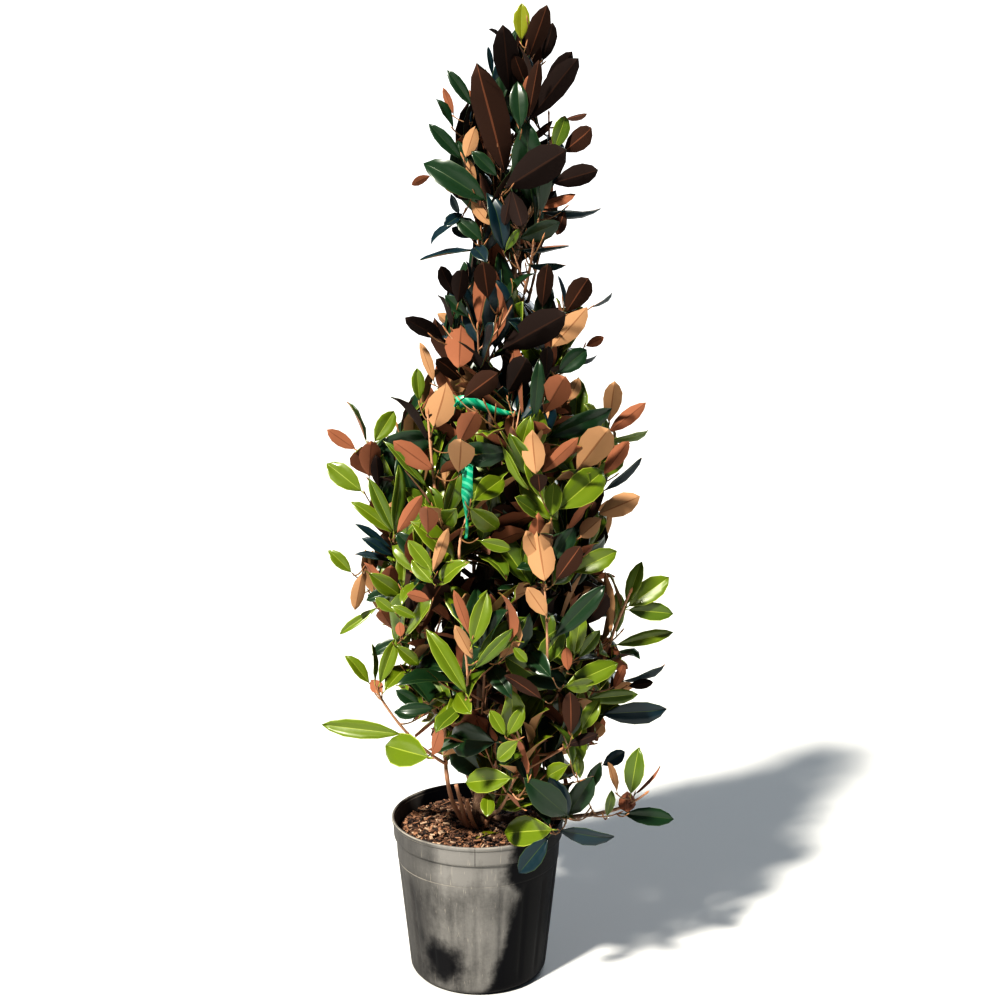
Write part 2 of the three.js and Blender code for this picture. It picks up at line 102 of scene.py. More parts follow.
BOUGH_TURN_SPREAD, BOUGH_REACH_SPREAD = 7, 0.08
STEM_RADIUS, STEM_RISE, LEADER_LENGTH = 0.0042, 0.35, 0.178
SHOOTS, SHOOT_FROM, SHOOT_TO, SHOOT_LENGTH = 5, 0.15, 0.75, 0.120
SHOOT_ANGLE, SHOOT_RISE, SHOOT_SPREAD, SHOOT_RADIUS = 0.9, 0.4, 0.15, 0.0028


# ---------------------------------------------------------------- the crown as its front shows it

# The front view: where its eye is, how far it looks down, its lens and film in millimetres, and how many pixels
# it has each way. Most places below are pixels of this view, counted from its top left corner. They stand for
# places on the upright plane through the trunk's foot.
EYE = (0.055, -3.115, 1.658)
VIEWPOINT = Vector(EYE)
TILT_DEGREES = 8.46
TILT = math.radians(TILT_DEGREES)
LENS, FILM, VIEW_PIXELS = 46.8, 36, 1000
FOCAL_PIXELS = LENS / FILM * VIEW_PIXELS

WIDER = 1.10  # how much wider a marked leaf is than it reads


def on_plane(right, down):
    """Where a pixel of the front view lies on the upright plane: x and z in metres."""
    aside = (right - VIEW_PIXELS / 2) / FOCAL_PIXELS
    up = (VIEW_PIXELS / 2 - down) / FOCAL_PIXELS
    away = -EYE[1] / (math.cos(TILT) + up * math.sin(TILT))
    rise = up * math.cos(TILT) - math.sin(TILT)
    return EYE[0] + away * aside, EYE[2] + away * rise


def pixel_size(down):
    """The mean of a pixel's width and height on the upright plane in metres, at a row of the front view."""
    middle = VIEW_PIXELS / 2
    width = on_plane(middle + 1, down)[0] - on_plane(middle, down)[0]
    height = on_plane(middle, down - 0.5)[1] - on_plane(middle, down + 0.5)[1]
    return (width + height) / 2


def in_mm(right, down):
    """A pixel of the front view as x and z on the upright plane, to a millimetre."""
    x, z = on_plane(right, down)
    return round(x * 1000), round(z * 1000)


def level(down, left, right, left_at=None, right_at=None):
    """A row of the outline: height, left edge and right edge. An edge may be given in metres instead."""
    height = on_plane(0, down)[1]
    if left_at is None:
        left_at = on_plane(left, down)[0]
    if right_at is None:
        right_at = on_plane(right, down)[0]
    return round(height, 2), round(left_at, 3), round(right_at, 3)


def opening(right, down, radius):
    """An opening's x, height and radius in metres, from its pixels in the front view."""
    x, z = on_plane(right, down)
    return round(x, 3), round(z, 3), round(radius * pixel_size(down), 3)


# The crown's outline, from the soil up. The lowest row is in metres.
OUTLINE = [
    (0.36, 0.280, 0.310),
    level(800, 470, 588),
    level(780, 448, 596),
    level(760, 436, 598),
    level(740, 415, 604),
    level(720, 414, 608),
    level(700, None, 640, left_at=-0.195),
    level(680, None, 650, left_at=-0.232),
    level(650, None, 640, left_at=-0.24),
    level(620, None, None, left_at=-0.248, right_at=0.39),
    level(590, None, None, left_at=-0.28, right_at=0.38),
    level(560, 350, 612),
    level(530, 360, 610),
    level(500, 358, 618),
    level(480, 340, 628),
    level(455, 345, 632),
    level(440, 365, 625),
    level(420, 396, 606),
    level(400, 410, 596),
    level(380, 425, 586),
    level(350, 430, 582),
    level(320, 430, 586),
    level(300, 445, 590),
    level(270, 455, 585),
    level(250, 472, 552),
    level(230, 468, 558),
    level(210, 458, None, right_at=0.19),
    level(190, 452, None, right_at=0.188),
    level(160, 440, None, right_at=0.215),
    level(130, 450, None, right_at=0.2),
    level(100, 468, None, right_at=0.15),
    level(70, 480, None, right_at=0.168),
    level(40, 498, 560),
    level(10, 512, 548),
]

# Small openings right through the crown: x, height and radius.
OPENINGS = [
    opening(510, 130, 9), opening(492, 172, 7), opening(465, 168, 6), opening(466, 205, 5),
    opening(507, 250, 6), opening(487, 292, 5), opening(541, 310, 5), opening(508, 336, 6),
    opening(588, 431, 8), opening(437, 623, 7), opening(417, 641, 7), opening(401, 658, 5),
    opening(519, 614, 5), opening(557, 606, 5), opening(594, 597, 8), opening(582, 608, 6),
    opening(546, 728, 5), opening(586, 758, 8), opening(597, 799, 13), opening(541, 113, 9),
    opening(556, 106, 7), opening(519, 143, 7), opening(510, 123, 7), opening(507, 163, 6),
    opening(523, 137, 7), opening(535, 126, 8), opening(544, 110, 8), opening(563, 186, 8),
    opening(578, 186, 8), opening(507, 271, 5), opening(527, 290, 8), opening(556, 281, 6),
    opening(493, 180, 6), opening(489, 186, 5), opening(468, 571, 5), opening(597, 627, 7),
    opening(405, 500, 6), opening(521, 611, 5),
]

# Where a fallen leaf lies on the soil.
FALLEN_LEAF = Vector((0.050, -0.062, 0.3745))

# Leaves that stand out. Each has the tint of the face that shows, how far it stands from the trunk's depth
# towards the crown's front, the blade's foot and tip and the width that shows in millimetres, and in degrees
# its turn away from showing the glossy face and its tip's lean towards the viewer.
Mark = namedtuple("Mark", "tint share foot tip width turn lean")


def leaf_mark(tint, share, foot, tip, width, turn, lean, wider=WIDER):
    """A mark whose foot, tip and width are pixels of the front view."""
    wide = round(width * pixel_size((foot[1] + tip[1]) / 2) * 1000)
    return Mark(tint, share, in_mm(*foot), in_mm(*tip), round(wide * wider), turn, lean)


MARKS = [
    # The top, from the tip down.
    Mark("lime", 0.3, (104, 2265), (105, 2346), 38, 0, 0),
    Mark("felt_brown", 0.2, (119, 2220), (164, 2342), 48, 180, 34),
    Mark("felt_dark", 0.2, (154, 2220), (177, 2303), 33, 160, 30),
    Mark("felt_dark", 0.5, (77, 2150), (62, 2298), 58, 180, 34),
    Mark("felt_dark", 0.3, (71, 2260), (29, 2289), 13, 110, 0),
    Mark("green_high", 0.2, (37, 2187), (27, 2251), 13, 30, 0),
    Mark("felt_dark", 0.35, (123, 2087), (234, 2225), 56, 180, 38),
    Mark("felt_dark", 0.3, (158, 2153), (221, 2239), 40, 180, 34),
    Mark("felt_brown", 0.62, (120, 2090), (145, 2221), 35, 188, 22),
    Mark("felt_rust", 0.6, (118, 2119), (120, 2186), 25, 180, 5),
    Mark("felt_brown", 0.55, (115, 2163), (88, 2231), 36, 180, 28),
    Mark("green_deep", 0.7, (103, 2069), (95, 2173), 44, 0, -10),
    Mark("felt_brown", 0.45, (68, 1966), (3, 2215), 80, 172, 24),
    Mark("felt_rust", 0.66, in_mm(495, 141), in_mm(469, 89), 20, 180, 0),
    Mark("green_deep", 0.4, (-10, 2119), (-67, 2198), 29, 10, 0),
    Mark("felt_rust", 0.3, (-53, 2100), (-78, 2159), 18, 170, 0),
    Mark("green_deep", 0.3, (-55, 2071), (-95, 2133), 18, 50, 0),
    Mark("green_deep", 0.35, (-34, 1997), (-110, 2078), 33, 10, 0),
    Mark("felt_tan", 0.6, (-25, 2002), (-2, 2073), 36, 180, -10),
    Mark("green_deep", 0.55, (47, 1960), (-11, 2017), 34, 10, 0),
    Mark("felt_tan", 0.5, (-6, 1929), (-18, 1998), 24, 180, -5),
    Mark("green_deep", 0.6, (22, 1904), (-123, 1989), 66, 15, -10),
    Mark("felt_rust", 0.3, (-109, 1960), (-152, 1939), 20, 150, 0),
    Mark("felt_tan", 0.5, (33, 1847), (-14, 1902), 27, 180, -5),
    Mark("felt_dark", 0.5, (68, 1932), (208, 2019), 84, 180, 44),
    Mark("green_mid", 0.4, (181, 2021), (207, 2096), 40, 10, 0),
    Mark("felt_brown", 0.2, (116, 2033), (178, 2085), 18, 160, 15),
    Mark("felt_brown", 0.2, (207, 2089), (257, 2101), 13, 120, 0),
    Mark("felt_brown", 0.3, (204, 2015), (268, 2068), 50, 170, 25),
    Mark("felt_dark", 0.3, (179, 1943), (283, 1974), 50, 180, 30),
    Mark("felt_dark", 0.3, (62, 2014), (87, 2058), 15, 170, 25),
    Mark("felt_dark", 0.6, (84, 1924), (108, 1844), 44, 180, 28),
    Mark("felt_dark", 0.55, (81, 1926), (65, 1847), 28, 180, 28),
    Mark("felt_rust", 0.25, (144, 1888), (232, 1919), 24, 150, 0),
    Mark("green_high", 0.3, (151, 1878), (291, 1884), 24, 60, 0),
    Mark("felt_brown", 0.3, (206, 1880), (189, 1825), 30, 180, 28),
    Mark("green_high", 0.3, (-60, 1919), (-41, 1875), 18, 30, 0),
    Mark("green_deep", 0.4, (12, 1811), (-47, 1861), 40, 20, 0),
    Mark("green_high", 0.3, (-48, 1855), (-107, 1804), 21, 70, 0),
    Mark("green_high", 0.3, (-12, 1790), (-133, 1767), 16, 70, 0),
    Mark("green_deep", 0.5, (102, 1817), (196, 1854), 46, 30, 0),
    Mark("green_mid", 0.6, (68, 1788), (101, 1840), 20, 10, 0),
    Mark("green_high", 0.4, (101, 1790), (217, 1800), 18, 70, 0),
    # The narrow part under it.
    leaf_mark("felt_dark", 0.5, (454, 295), (440, 267), 14, 180, 30),
    leaf_mark("felt_dark", 0.6, (458, 303), (462, 270), 16, 180, 38),
    leaf_mark("felt_brown", 0.7, (488, 298), (483, 262), 21, 180, 34),
    leaf_mark("green_high", 0.6, (487, 262), (474, 248), 15, 20, 0),
    leaf_mark("green_high", 0.4, (469, 285), (466, 261), 7, 70, 0),
    leaf_mark("felt_brown", 0.6, (542, 307), (547, 264), 16, 180, 34),
    leaf_mark("green_high", 0.5, (530, 266), (566, 265), 9, 60, 0),
    leaf_mark("green_high", 0.3, (565, 307), (558, 276), 5, 80, 0),
    leaf_mark("felt_brown", 0.4, (566, 312), (588, 278), 22, 180, 34),
    leaf_mark("felt_tan", 0.5, (552, 347), (588, 308), 21, 180, -10),
    leaf_mark("felt_dark", 0.5, (503, 349), (565, 314), 30, 180, 44),
    leaf_mark("felt_dark", 0.7, (546, 377), (547, 346), 13, 180, 38),
    leaf_mark("green_deep", 0.5, (558, 373), (586, 349), 18, 10, -10),
    leaf_mark("green_high", 0.3, (576, 364), (597, 355), 7, 60, 0),
    leaf_mark("felt_rust", 0.2, (586, 346), (604, 337), 9, 160, 0),
    leaf_mark("green_high", 0.3, (592, 307), (612, 292), 5, 80, 0),
    leaf_mark("felt_rust", 0.8, (459, 368), (461, 325), 28, 180, -5),
    leaf_mark("felt_dark", 0.4, (443, 339), (405, 318), 16, 150, 30),
    leaf_mark("felt_dark", 0.5, (451, 328), (438, 295), 6, 110, 0),
    leaf_mark("green_deep", 0.5, (468, 317), (445, 295), 12, 10, 0),
    leaf_mark("felt_tan", 0.4, (434, 381), (420, 342), 10, 170, -10),
    leaf_mark("green_bright", 0.4, (419, 400), (417, 368), 12, 10, 0),
    leaf_mark("felt_brown", 0.8, (464, 398), (498, 373), 22, 180, 30),
    leaf_mark("felt_dark", 0.5, (508, 392), (527, 359), 25, 180, 42),
    leaf_mark("green_high", 0.25, (503, 415), (503, 386), 18, 0, 10),
    leaf_mark("green_deep", 0.8, (534, 420), (538, 358), 13, 15, 0),
    leaf_mark("felt_rust", 0.7, (544, 412), (565, 377), 26, 180, 38),
    leaf_mark("felt_tan", 0.5, (568, 401), (579, 378), 12, 180, -10),
    # Left shoulder and left side.
    leaf_mark("felt_rust", 0.2, (355, 449), (327, 430), 13, 180, 0),
    leaf_mark("felt_rust", 0.4, (369, 476), (371, 441), 20, 180, 5),
    leaf_mark("felt_dark", 0.4, (379, 487), (376, 455), 12, 180, 25),
    leaf_mark("green_bright", 0.4, (361, 491), (327, 463), 20, 0, -10),
    leaf_mark("green_mid", 0.3, (366, 440), (347, 402), 5, 80, 0),
    leaf_mark("green_bright", 0.5, (375, 441), (394, 411), 17, 0, -10),
    leaf_mark("felt_dark", 0.6, (428, 441), (391, 397), 7, 110, 0),
    leaf_mark("felt_tan", 0.7, (434, 427), (448, 383), 28, 180, -5),
    leaf_mark("felt_rust", 0.7, (433, 470), (393, 441), 19, 190, 0),
    leaf_mark("felt_rust", 0.8, (459, 444), (476, 411), 21, 180, 5),
    Mark("felt_tan", 0.9, in_mm(459, 472), in_mm(462, 440), 66, 180, 5),
    leaf_mark("green_mid", 0.7, (427, 487), (383, 441), 9, 30, 0),
    leaf_mark("green_bright", 0.9, (474, 500), (503, 478), 22, 0, -15),
    leaf_mark("green_bright", 0.9, (470, 508), (497, 529), 20, 10, -10),
    leaf_mark("green_bright", 0.6, (394, 533), (352, 501), 13, 10, 0),
    leaf_mark("green_mid", 0.6, (394, 533), (369, 478), 13, 0, 0),
    leaf_mark("green_mid", 0.7, (394, 533), (399, 465), 12, 30, 0),
    leaf_mark("felt_rust", 0.8, (397, 533), (422, 495), 14, 180, 0),
    leaf_mark("felt_rust", 0.9, (428, 533), (428, 507), 18, 170, 10),
    leaf_mark("felt_tan", 0.8, (433, 572), (448, 528), 11, 180, 0),
    leaf_mark("green_bright", 0.8, (433, 571), (408, 540), 14, 0, -10),
    leaf_mark("green_bright", 0.8, (433, 583), (412, 560), 15, 0, -10),
    leaf_mark("green_bright", 0.3, (351, 572), (329, 550), 12, 0, -5),
    leaf_mark("felt_tan", 0.3, (362, 573), (355, 610), 13, 170, 0),
    leaf_mark("green_bright", 0.5, (369, 573), (400, 595), 17, 0, -15),
    leaf_mark("green_bright", 0.6, (417, 618), (391, 606), 9, 0, 0),
    leaf_mark("green_bright", 0.6, (394, 612), (375, 598), 10, 0, 0),
    leaf_mark("green_bright", 0.2, (377, 608), (340, 635), 8, 20, 0),
    leaf_mark("felt_rust", 0.7, (401, 637), (399, 622), 9, 180, 0),
    # Right shoulder and right side.
    leaf_mark("felt_tan", 0.3, (609, 422), (615, 381), 17, 180, 36),
    leaf_mark("felt_rust", 0.3, (609, 432), (646, 403), 14, 180, 0),
    leaf_mark("green_mid", 0.3, (610, 441), (648, 430), 7, 60, 0),
    leaf_mark("green_deep", 0.5, (549, 437), (612, 409), 21, 15, 0),
    leaf_mark("felt_tan", 0.6, (577, 470), (608, 429), 30, 180, 38),
    leaf_mark("felt_rust", 0.4, (604, 474), (629, 441), 15, 180, 5),
    leaf_mark("green_high", 0.3, (604, 491), (642, 458), 8, 40, 0),
    leaf_mark("green_bright", 0.8, (559, 509), (603, 471), 31, 0, -15),
    leaf_mark("felt_tan", 0.9, (536, 474), (531, 430), 22, 180, -5),
    leaf_mark("felt_rust", 0.7, (542, 473), (578, 437), 13, 170, 20),
    leaf_mark("felt_brown", 0.9, (540, 492), (538, 474), 16, 180, 15),
    leaf_mark("green_bright", 0.8, (551, 516), (554, 482), 17, 20, -10),
    leaf_mark("felt_tan", 0.5, (599, 514), (640, 496), 20, 170, 0),
    leaf_mark("felt_tan", 0.7, (580, 537), (601, 518), 17, 180, 0),
    leaf_mark("felt_tan", 0.9, (545, 581), (537, 531), 26, 180, -5),
    leaf_mark("felt_brown", 0.9, (556, 580), (581, 546), 19, 180, 10),
    leaf_mark("green_deep", 0.8, (554, 560), (574, 527), 17, 0, 0),
    leaf_mark("green_bright", 0.6, (574, 572), (617, 551), 20, 0, -10),
    leaf_mark("felt_tan", 0.9, (547, 616), (527, 587), 16, 180, 0),
    leaf_mark("green_bright", 0.8, (502, 445), (528, 490), 8, 30, 0),
    leaf_mark("green_bright", 0.9, (480, 541), (511, 549), 12, 10, -10),
    leaf_mark("green_deep", 0.8, (555, 637), (605, 585), 18, 10, 0),
    leaf_mark("felt_dark", 0.5, (587, 624), (607, 593), 18, 180, 20),
    leaf_mark("felt_tan", 0.5, (611, 632), (605, 572), 10, 150, 0),
    leaf_mark("green_bright", 0.3, (627, 604), (641, 561), 14, 0, -10),
    leaf_mark("green_bright", 0.4, (629, 606), (669, 577), 21, 0, -10),
    leaf_mark("green_mid", 0.4, (629, 610), (673, 613), 17, 0, -5),
    leaf_mark("green_bright", 0.3, (617, 645), (673, 632), 13, 0, -10),
    leaf_mark("green_bright", 0.7, (574, 655), (582, 610), 15, 0, -5),
    leaf_mark("green_mid", 0.7, (579, 657), (600, 630), 12, 10, 0),
    leaf_mark("felt_rust", 0.8, (568, 671), (566, 647), 10, 180, 0),
    leaf_mark("green_bright", 0.8, (566, 686), (618, 663), 20, 0, -20),
    leaf_mark("green_bright", 0.8, (566, 687), (594, 683), 14, 20, -10),
    leaf_mark("felt_rust", 0.6, (614, 688), (625, 664), 9, 180, 0),
    leaf_mark("green_high", 0.4, (625, 681), (665, 664), 6, 60, 0),
    leaf_mark("felt_dark", 0.4, (629, 686), (653, 682), 9, 180, 10),
    leaf_mark("green_mid", 0.6, (588, 699), (638, 693), 13, 20, 0),
    leaf_mark("green_high", 0.5, (603, 714), (667, 709), 20, 20, 0),
    leaf_mark("felt_brown", 0.9, (571, 734), (571, 692), 17, 180, 10),
    leaf_mark("green_bright", 0.7, (582, 730), (599, 699), 15, 0, -10),
    leaf_mark("felt_dark", 0.8, (567, 745), (598, 734), 10, 170, 10),
    # Lower front and the long arms on the left.
    leaf_mark("felt_rust", 0.9, (430, 600), (407, 594), 10, 150, 0),
    leaf_mark("felt_rust", 0.9, (470, 635), (454, 590), 10, 170, 0),
    leaf_mark("felt_tan", 0.9, (473, 659), (455, 625), 12, 180, 0),
    leaf_mark("green_bright", 0.9, (472, 645), (488, 592), 18, 0, -10),
    leaf_mark("green_mid", 0.9, (475, 668), (512, 628), 12, 20, 0),
    leaf_mark("green_bright", 0.9, (466, 693), (426, 629), 17, 10, -10),
    leaf_mark("green_deep", 0.9, (551, 677), (529, 652), 19, 0, 0),
    leaf_mark("green_bright", 0.9, (513, 647), (527, 662), 9, 0, 0),
    leaf_mark("felt_brown", 0.9, (542, 699), (505, 675), 13, 150, 10),
    leaf_mark("green_bright", 0.8, (505, 735), (490, 710), 12, 0, -10),
    leaf_mark("green_bright", 0.8, (508, 735), (524, 707), 13, 0, -10),
    leaf_mark("green_bright", 0.8, (518, 741), (497, 760), 15, 10, -10),
    leaf_mark("green_bright", 0.5, (380, 683), (396, 639), 14, 0, -10),
    leaf_mark("green_mid", 0.4, (375, 681), (372, 644), 6, 60, 0),
    leaf_mark("green_bright", 0.3, (369, 683), (346, 655), 12, 20, -10),
    leaf_mark("green_bright", 0.5, (396, 646), (419, 665), 12, 0, -10),
    leaf_mark("felt_rust", 0.4, (381, 692), (371, 680), 12, 180, 0),
    leaf_mark("green_bright", 0.4, (400, 734), (322, 725), 17, 5, -5),
    leaf_mark("green_bright", 0.6, (428, 757), (386, 746), 31, 0, -15),
    leaf_mark("green_deep", 0.6, (434, 708), (397, 710), 12, 0, 0),
    # Darker leaves behind them, at the crown's edge.
    leaf_mark("green_high", 0.2, (391, 548), (355, 524), 7, 40, 0, wider=1),
    leaf_mark("green_high", 0.3, (393, 556), (362, 538), 11, 20, 0, wider=1),
    leaf_mark("green_high", 0.2, (390, 561), (355, 554), 8, 40, 0, wider=1),
    leaf_mark("green_deep", 0.3, (397, 590), (366, 600), 13, 15, 0, wider=1),
    leaf_mark("green_deep", 0.3, (399, 640), (372, 655), 12, 20, 0, wider=1),
    leaf_mark("green_deep", 0.4, (420, 706), (396, 690), 13, 0, 0, wider=1),
    leaf_mark("green_deep", 0.4, (418, 716), (394, 712), 11, 20, 0, wider=1),
    leaf_mark("green_mid", 0.6, (580, 778), (579, 755), 9, 10, 0, wider=1),
    leaf_mark("green_deep", 0.5, (588, 790), (600, 762), 13, 10, 10, wider=1),
    leaf_mark("green_deep", 0.4, (560, 772), (552, 744), 15, 10, 0, wider=1),
    leaf_mark("green_high", 0.3, (462, 214), (444, 226), 12, 20, 0, wider=1),
    leaf_mark("green_high", 0.3, (470, 238), (452, 228), 11, 20, 0, wider=1),
    leaf_mark("felt_dark", 0.3, (468, 200), (452, 186), 12, 180, 30, wider=1),
    leaf_mark("felt_brown", 0.4, (566, 300), (592, 292), 12, 180, 20, wider=1),
    # Over the rim, and the low arm on the right.
    leaf_mark("green_deep", 0.7, (495, 742), (451, 738), 32, 0, 0),
    leaf_mark("green_bright", 0.6, (511, 778), (466, 782), 23, 0, -20),
    leaf_mark("green_bright", 0.5, (487, 775), (485, 748), 18, 0, 0),
    leaf_mark("green_bright", 0.5, (488, 794), (487, 817), 14, 0, 0),
    leaf_mark("green_deep", 0.6, (567, 815), (523, 778), 26, 0, 20),
    leaf_mark("green_high", 0.55, (568, 815), (549, 777), 20, 0, 20),
    leaf_mark("green_deep", 0.5, (568, 815), (593, 776), 20, 0, 20),
    leaf_mark("green_bright", 0.55, (552, 830), (505, 832), 28, 0, 0),
    leaf_mark("green_high", 0.56, (548, 838), (519, 873), 19, 0, 0),
    leaf_mark("green_high", 0.6, (558, 830), (614, 838), 15, 30, 0),
    leaf_mark("green_mid", 0.5, (631, 793), (638, 747), 18, 0, 0),
    leaf_mark("felt_rust", 0.5, (637, 793), (660, 766), 4, 100, 0),
    leaf_mark("green_deep", 0.5, (624, 814), (674, 819), 16, 0, -5),
    leaf_mark("felt_rust", 0.5, (627, 812), (627, 791), 17, 180, 0),
    leaf_mark("felt_tan", 0.5, (617, 791), (608, 762), 7, 150, 0),
    leaf_mark("green_high", 0.4, (603, 765), (625, 752), 13, 0, 0),
    leaf_mark("green_mid", 0.5, (607, 816), (611, 790), 8, 30, 0),
    leaf_mark("green_bright", 0.6, (577, 775), (579, 757), 8, 0, 0),
    leaf_mark("green_bright", 0.7, (568, 765), (547, 777), 15, 20, -10),
]

# Tan shoots that stand out: how far the foot and the end stand from the trunk's depth towards the crown's front,
# the radius at both, and the line in millimetres.
Shoot = namedtuple("Shoot", "shares foot end line")
SHOWN_SHOOTS = [
    Shoot((0.1, 0.45), 0.0040, 0.0028, [in_mm(446, 764), in_mm(426, 753), in_mm(402, 733), in_mm(379, 695)]),
    Shoot((0.55, 0.6), 0.0042, 0.0030, [in_mm(438, 512), in_mm(432, 474), in_mm(428, 414)]),
    Shoot((0.7, 0.72), 0.0038, 0.0028, [in_mm(460, 566), in_mm(457, 541), in_mm(467, 516)]),
    Shoot((0.35, 0.35), 0.0042, 0.0028, [in_mm(604, 659), in_mm(616, 622), in_mm(630, 593)]),
    Shoot((0.8, 0.85), 0.0040, 0.0026, [in_mm(467, 700), in_mm(469, 672), in_mm(465, 652)]),
    Shoot((0.75, 0.75), 0.0034, 0.0024, [in_mm(547, 668), in_mm(548, 619), in_mm(544, 586)]),
    Shoot((0.25, 0.25), 0.0030, 0.0022, [in_mm(490, 216), in_mm(473, 180), in_mm(463, 158)]),
    Shoot((0.55, 0.6), 0.0032, 0.0024, [in_mm(565, 747), in_mm(540, 762), in_mm(518, 774)]),
]


# ---------------------------------------------------------------- random numbers and curves


class Draws:
    """Repeatable numbers from 0 to 1, drawn in the order in which the solids' growth draws them."""

    def __init__(self, seed):
        self.state = seed & 0xFFFFFFFF

    def __call__(self):
        mask = 0xFFFFFFFF
        self.state = (self.state + 0x6D2B79F5) & mask
        t = self.state
        t = ((t ^ (t >> 15)) * (t | 1)) & mask
        t ^= (t + (((t ^ (t >> 7)) * (t | 61)) & mask)) & mask
        return ((t ^ (t >> 14)) & mask) / 4294967296

    def around(self, share):
        return 1 + (self() * 2 - 1) * share

    def between(self, low, high):
        return low + (high - low) * self()


class Curve:
    """A Bezier curve of any degree."""

    def __init__(self, *points):
        self.points = [Vector(p) for p in points]

    def point(self, t):
        points = self.points
        while len(points) > 1:
            points = [a.lerp(b, t) for a, b in zip(points, points[1:])]
        return points[0]

    def tangent(self, t):
        points = [b - a for a, b in zip(self.points, self.points[1:])]
        while len(points) > 1:
            points = [a.lerp(b, t) for a, b in zip(points, points[1:])]
        return points[0].normalized()

    def length(self):
        points = [self.point(i / 8) for i in range(9)]
        return sum((b - a).length for a, b in zip(points, points[1:]))


def lerp(a, b, t):
    return a + (b - a) * t


def side_of(axis, angle):
    """A direction square to an axis, turned round it by an angle."""
    across = UP if abs(axis.z) < 0.95 else Vector((1, 0, 0))
    u = across.cross(axis).normalized()
    v = axis.cross(u)
    return u * math.cos(angle) + v * math.sin(angle)


def bearing(degrees):
    turn = math.radians(degrees)
    return Vector((math.cos(turn), math.sin(turn), 0))


def rising_curve(start, direction, length, lift):
    """A curve that leaves along a direction and has turned part of the way upwards by its end."""
    middle = start + direction * (length / 2)
    return Curve(start, middle, middle + direction.lerp(UP, lift).normalized() * (length / 2))


def in_line(spot, depth):
    """The point at a depth that lines up for the viewer with a spot of the upright plane."""
    return VIEWPOINT + (spot - VIEWPOINT) * (1 - depth / VIEWPOINT.y)


def seen(points):
    """Where points line up on the upright plane, as an array of x and z."""
    eye = np.array(VIEWPOINT[:])
    scale = eye[1] / (eye[1] - points[:, 1])
    return (eye + (points - eye) * scale[:, None])[:, [0, 2]]


TRUNK_CURVE = Curve(*TRUNK_LINE)


def trunk_radius(t):
    flare = max(0.0, 1 - t / TRUNK_FLARE)
    return lerp(TRUNK_RADIUS, TRUNK_TIP, t) + (TRUNK_FOOT - TRUNK_RADIUS) * flare * flare


def trunk_at(height):
    """The point of the trunk's line at a height. The line only rises, so halving finds it."""
    low, high = 0.0, 1.0
    for _ in range(24):
        middle = (low + high) / 2
        if TRUNK_CURVE.point(middle).z < height:
            low = middle
        else:
            high = middle
    return TRUNK_CURVE.point(low)


# ---------------------------------------------------------------- the plant's lines

Limb = namedtuple("Limb", "name tier curve stem")
Twig = namedtuple("Twig", "tier curve radius tip level")


def bough_limbs():
    """The centre line of every bough, worked out from the tiers."""
    draw = Draws(SEED)
    limbs = []
    for tier in TIERS:
        for i in range(tier.count):
            share = (i * GOLDEN_SHARE) % 1
            root_height = lerp(*tier.root, share)
            tip_height = lerp(*tier.tip, share)
            out = bearing(tier.turn + tier.apart * i + (draw() * 2 - 1) * BOUGH_TURN_SPREAD)
            reach = tier.reach * draw.around(BOUGH_REACH_SPREAD)
            root = trunk_at(root_height)
            tip = trunk_at(tip_height) + out * reach
            tip.z = tip_height
            bend = root + out * (reach * BOUGH_BEND)
            bend.z = lerp(root_height, tip_height, BOUGH_RISE)
            limbs.append(Limb(f"{tier.name}_{i + 1}", tier.name, Curve(root, bend, tip), tier.stem))
    return limbs


def stem_of(limb):
    axis = limb.curve.tangent(1)
    return rising_curve(limb.curve.point(1) + axis * GAP, axis, limb.stem, STEM_RISE)


def shoot_curves(stem, draw):
    """The side shoots of a stem, each leaving at an angle and turning upwards."""
    start = draw() * 2 * math.pi
    curves = []
    for i in range(SHOOTS):
        share = lerp(SHOOT_FROM, SHOOT_TO, i / (SHOOTS - 1))
        angle = SHOOT_ANGLE * draw.around(SHOOT_SPREAD)
        axis = stem.tangent(share)
        direction = axis * math.cos(angle) + side_of(axis, start + i * GOLDEN_ANGLE) * math.sin(angle)
        length = SHOOT_LENGTH * draw.around(SHOOT_SPREAD)
        curves.append(rising_curve(stem.point(share), direction, length, SHOOT_RISE))
    return curves


def fine_curves(shoot, count, length, draw):
    """Finer twigs from a shoot, by the same rule."""
    start = draw() * 2 * math.pi
    curves = []
    for i in range(count):
        share = lerp(0.3, 0.7, (i + 0.5) / count)
        angle = 0.75 * draw.around(0.25)
        axis = shoot.tangent(share)
        direction = axis * math.cos(angle) + side_of(axis, start + i * GOLDEN_ANGLE) * math.sin(angle)
        curves.append(rising_curve(shoot.point(share), direction, length * draw.around(0.25), 0.45))
    return curves


# ---------------------------------------------------------------- the room that the growth has


def to_segments(points, starts, ends):
    """Distance of each point to each segment, as an array of points by segments."""
    span = ends - starts
    share = np.einsum("psk,sk->ps", points[:, None] - starts[None], span) / np.einsum("sk,sk->s", span, span)
    nearest = starts[None] + np.clip(share, 0, 1)[..., None] * span[None]
    return np.linalg.norm(points[:, None] - nearest, axis=2)


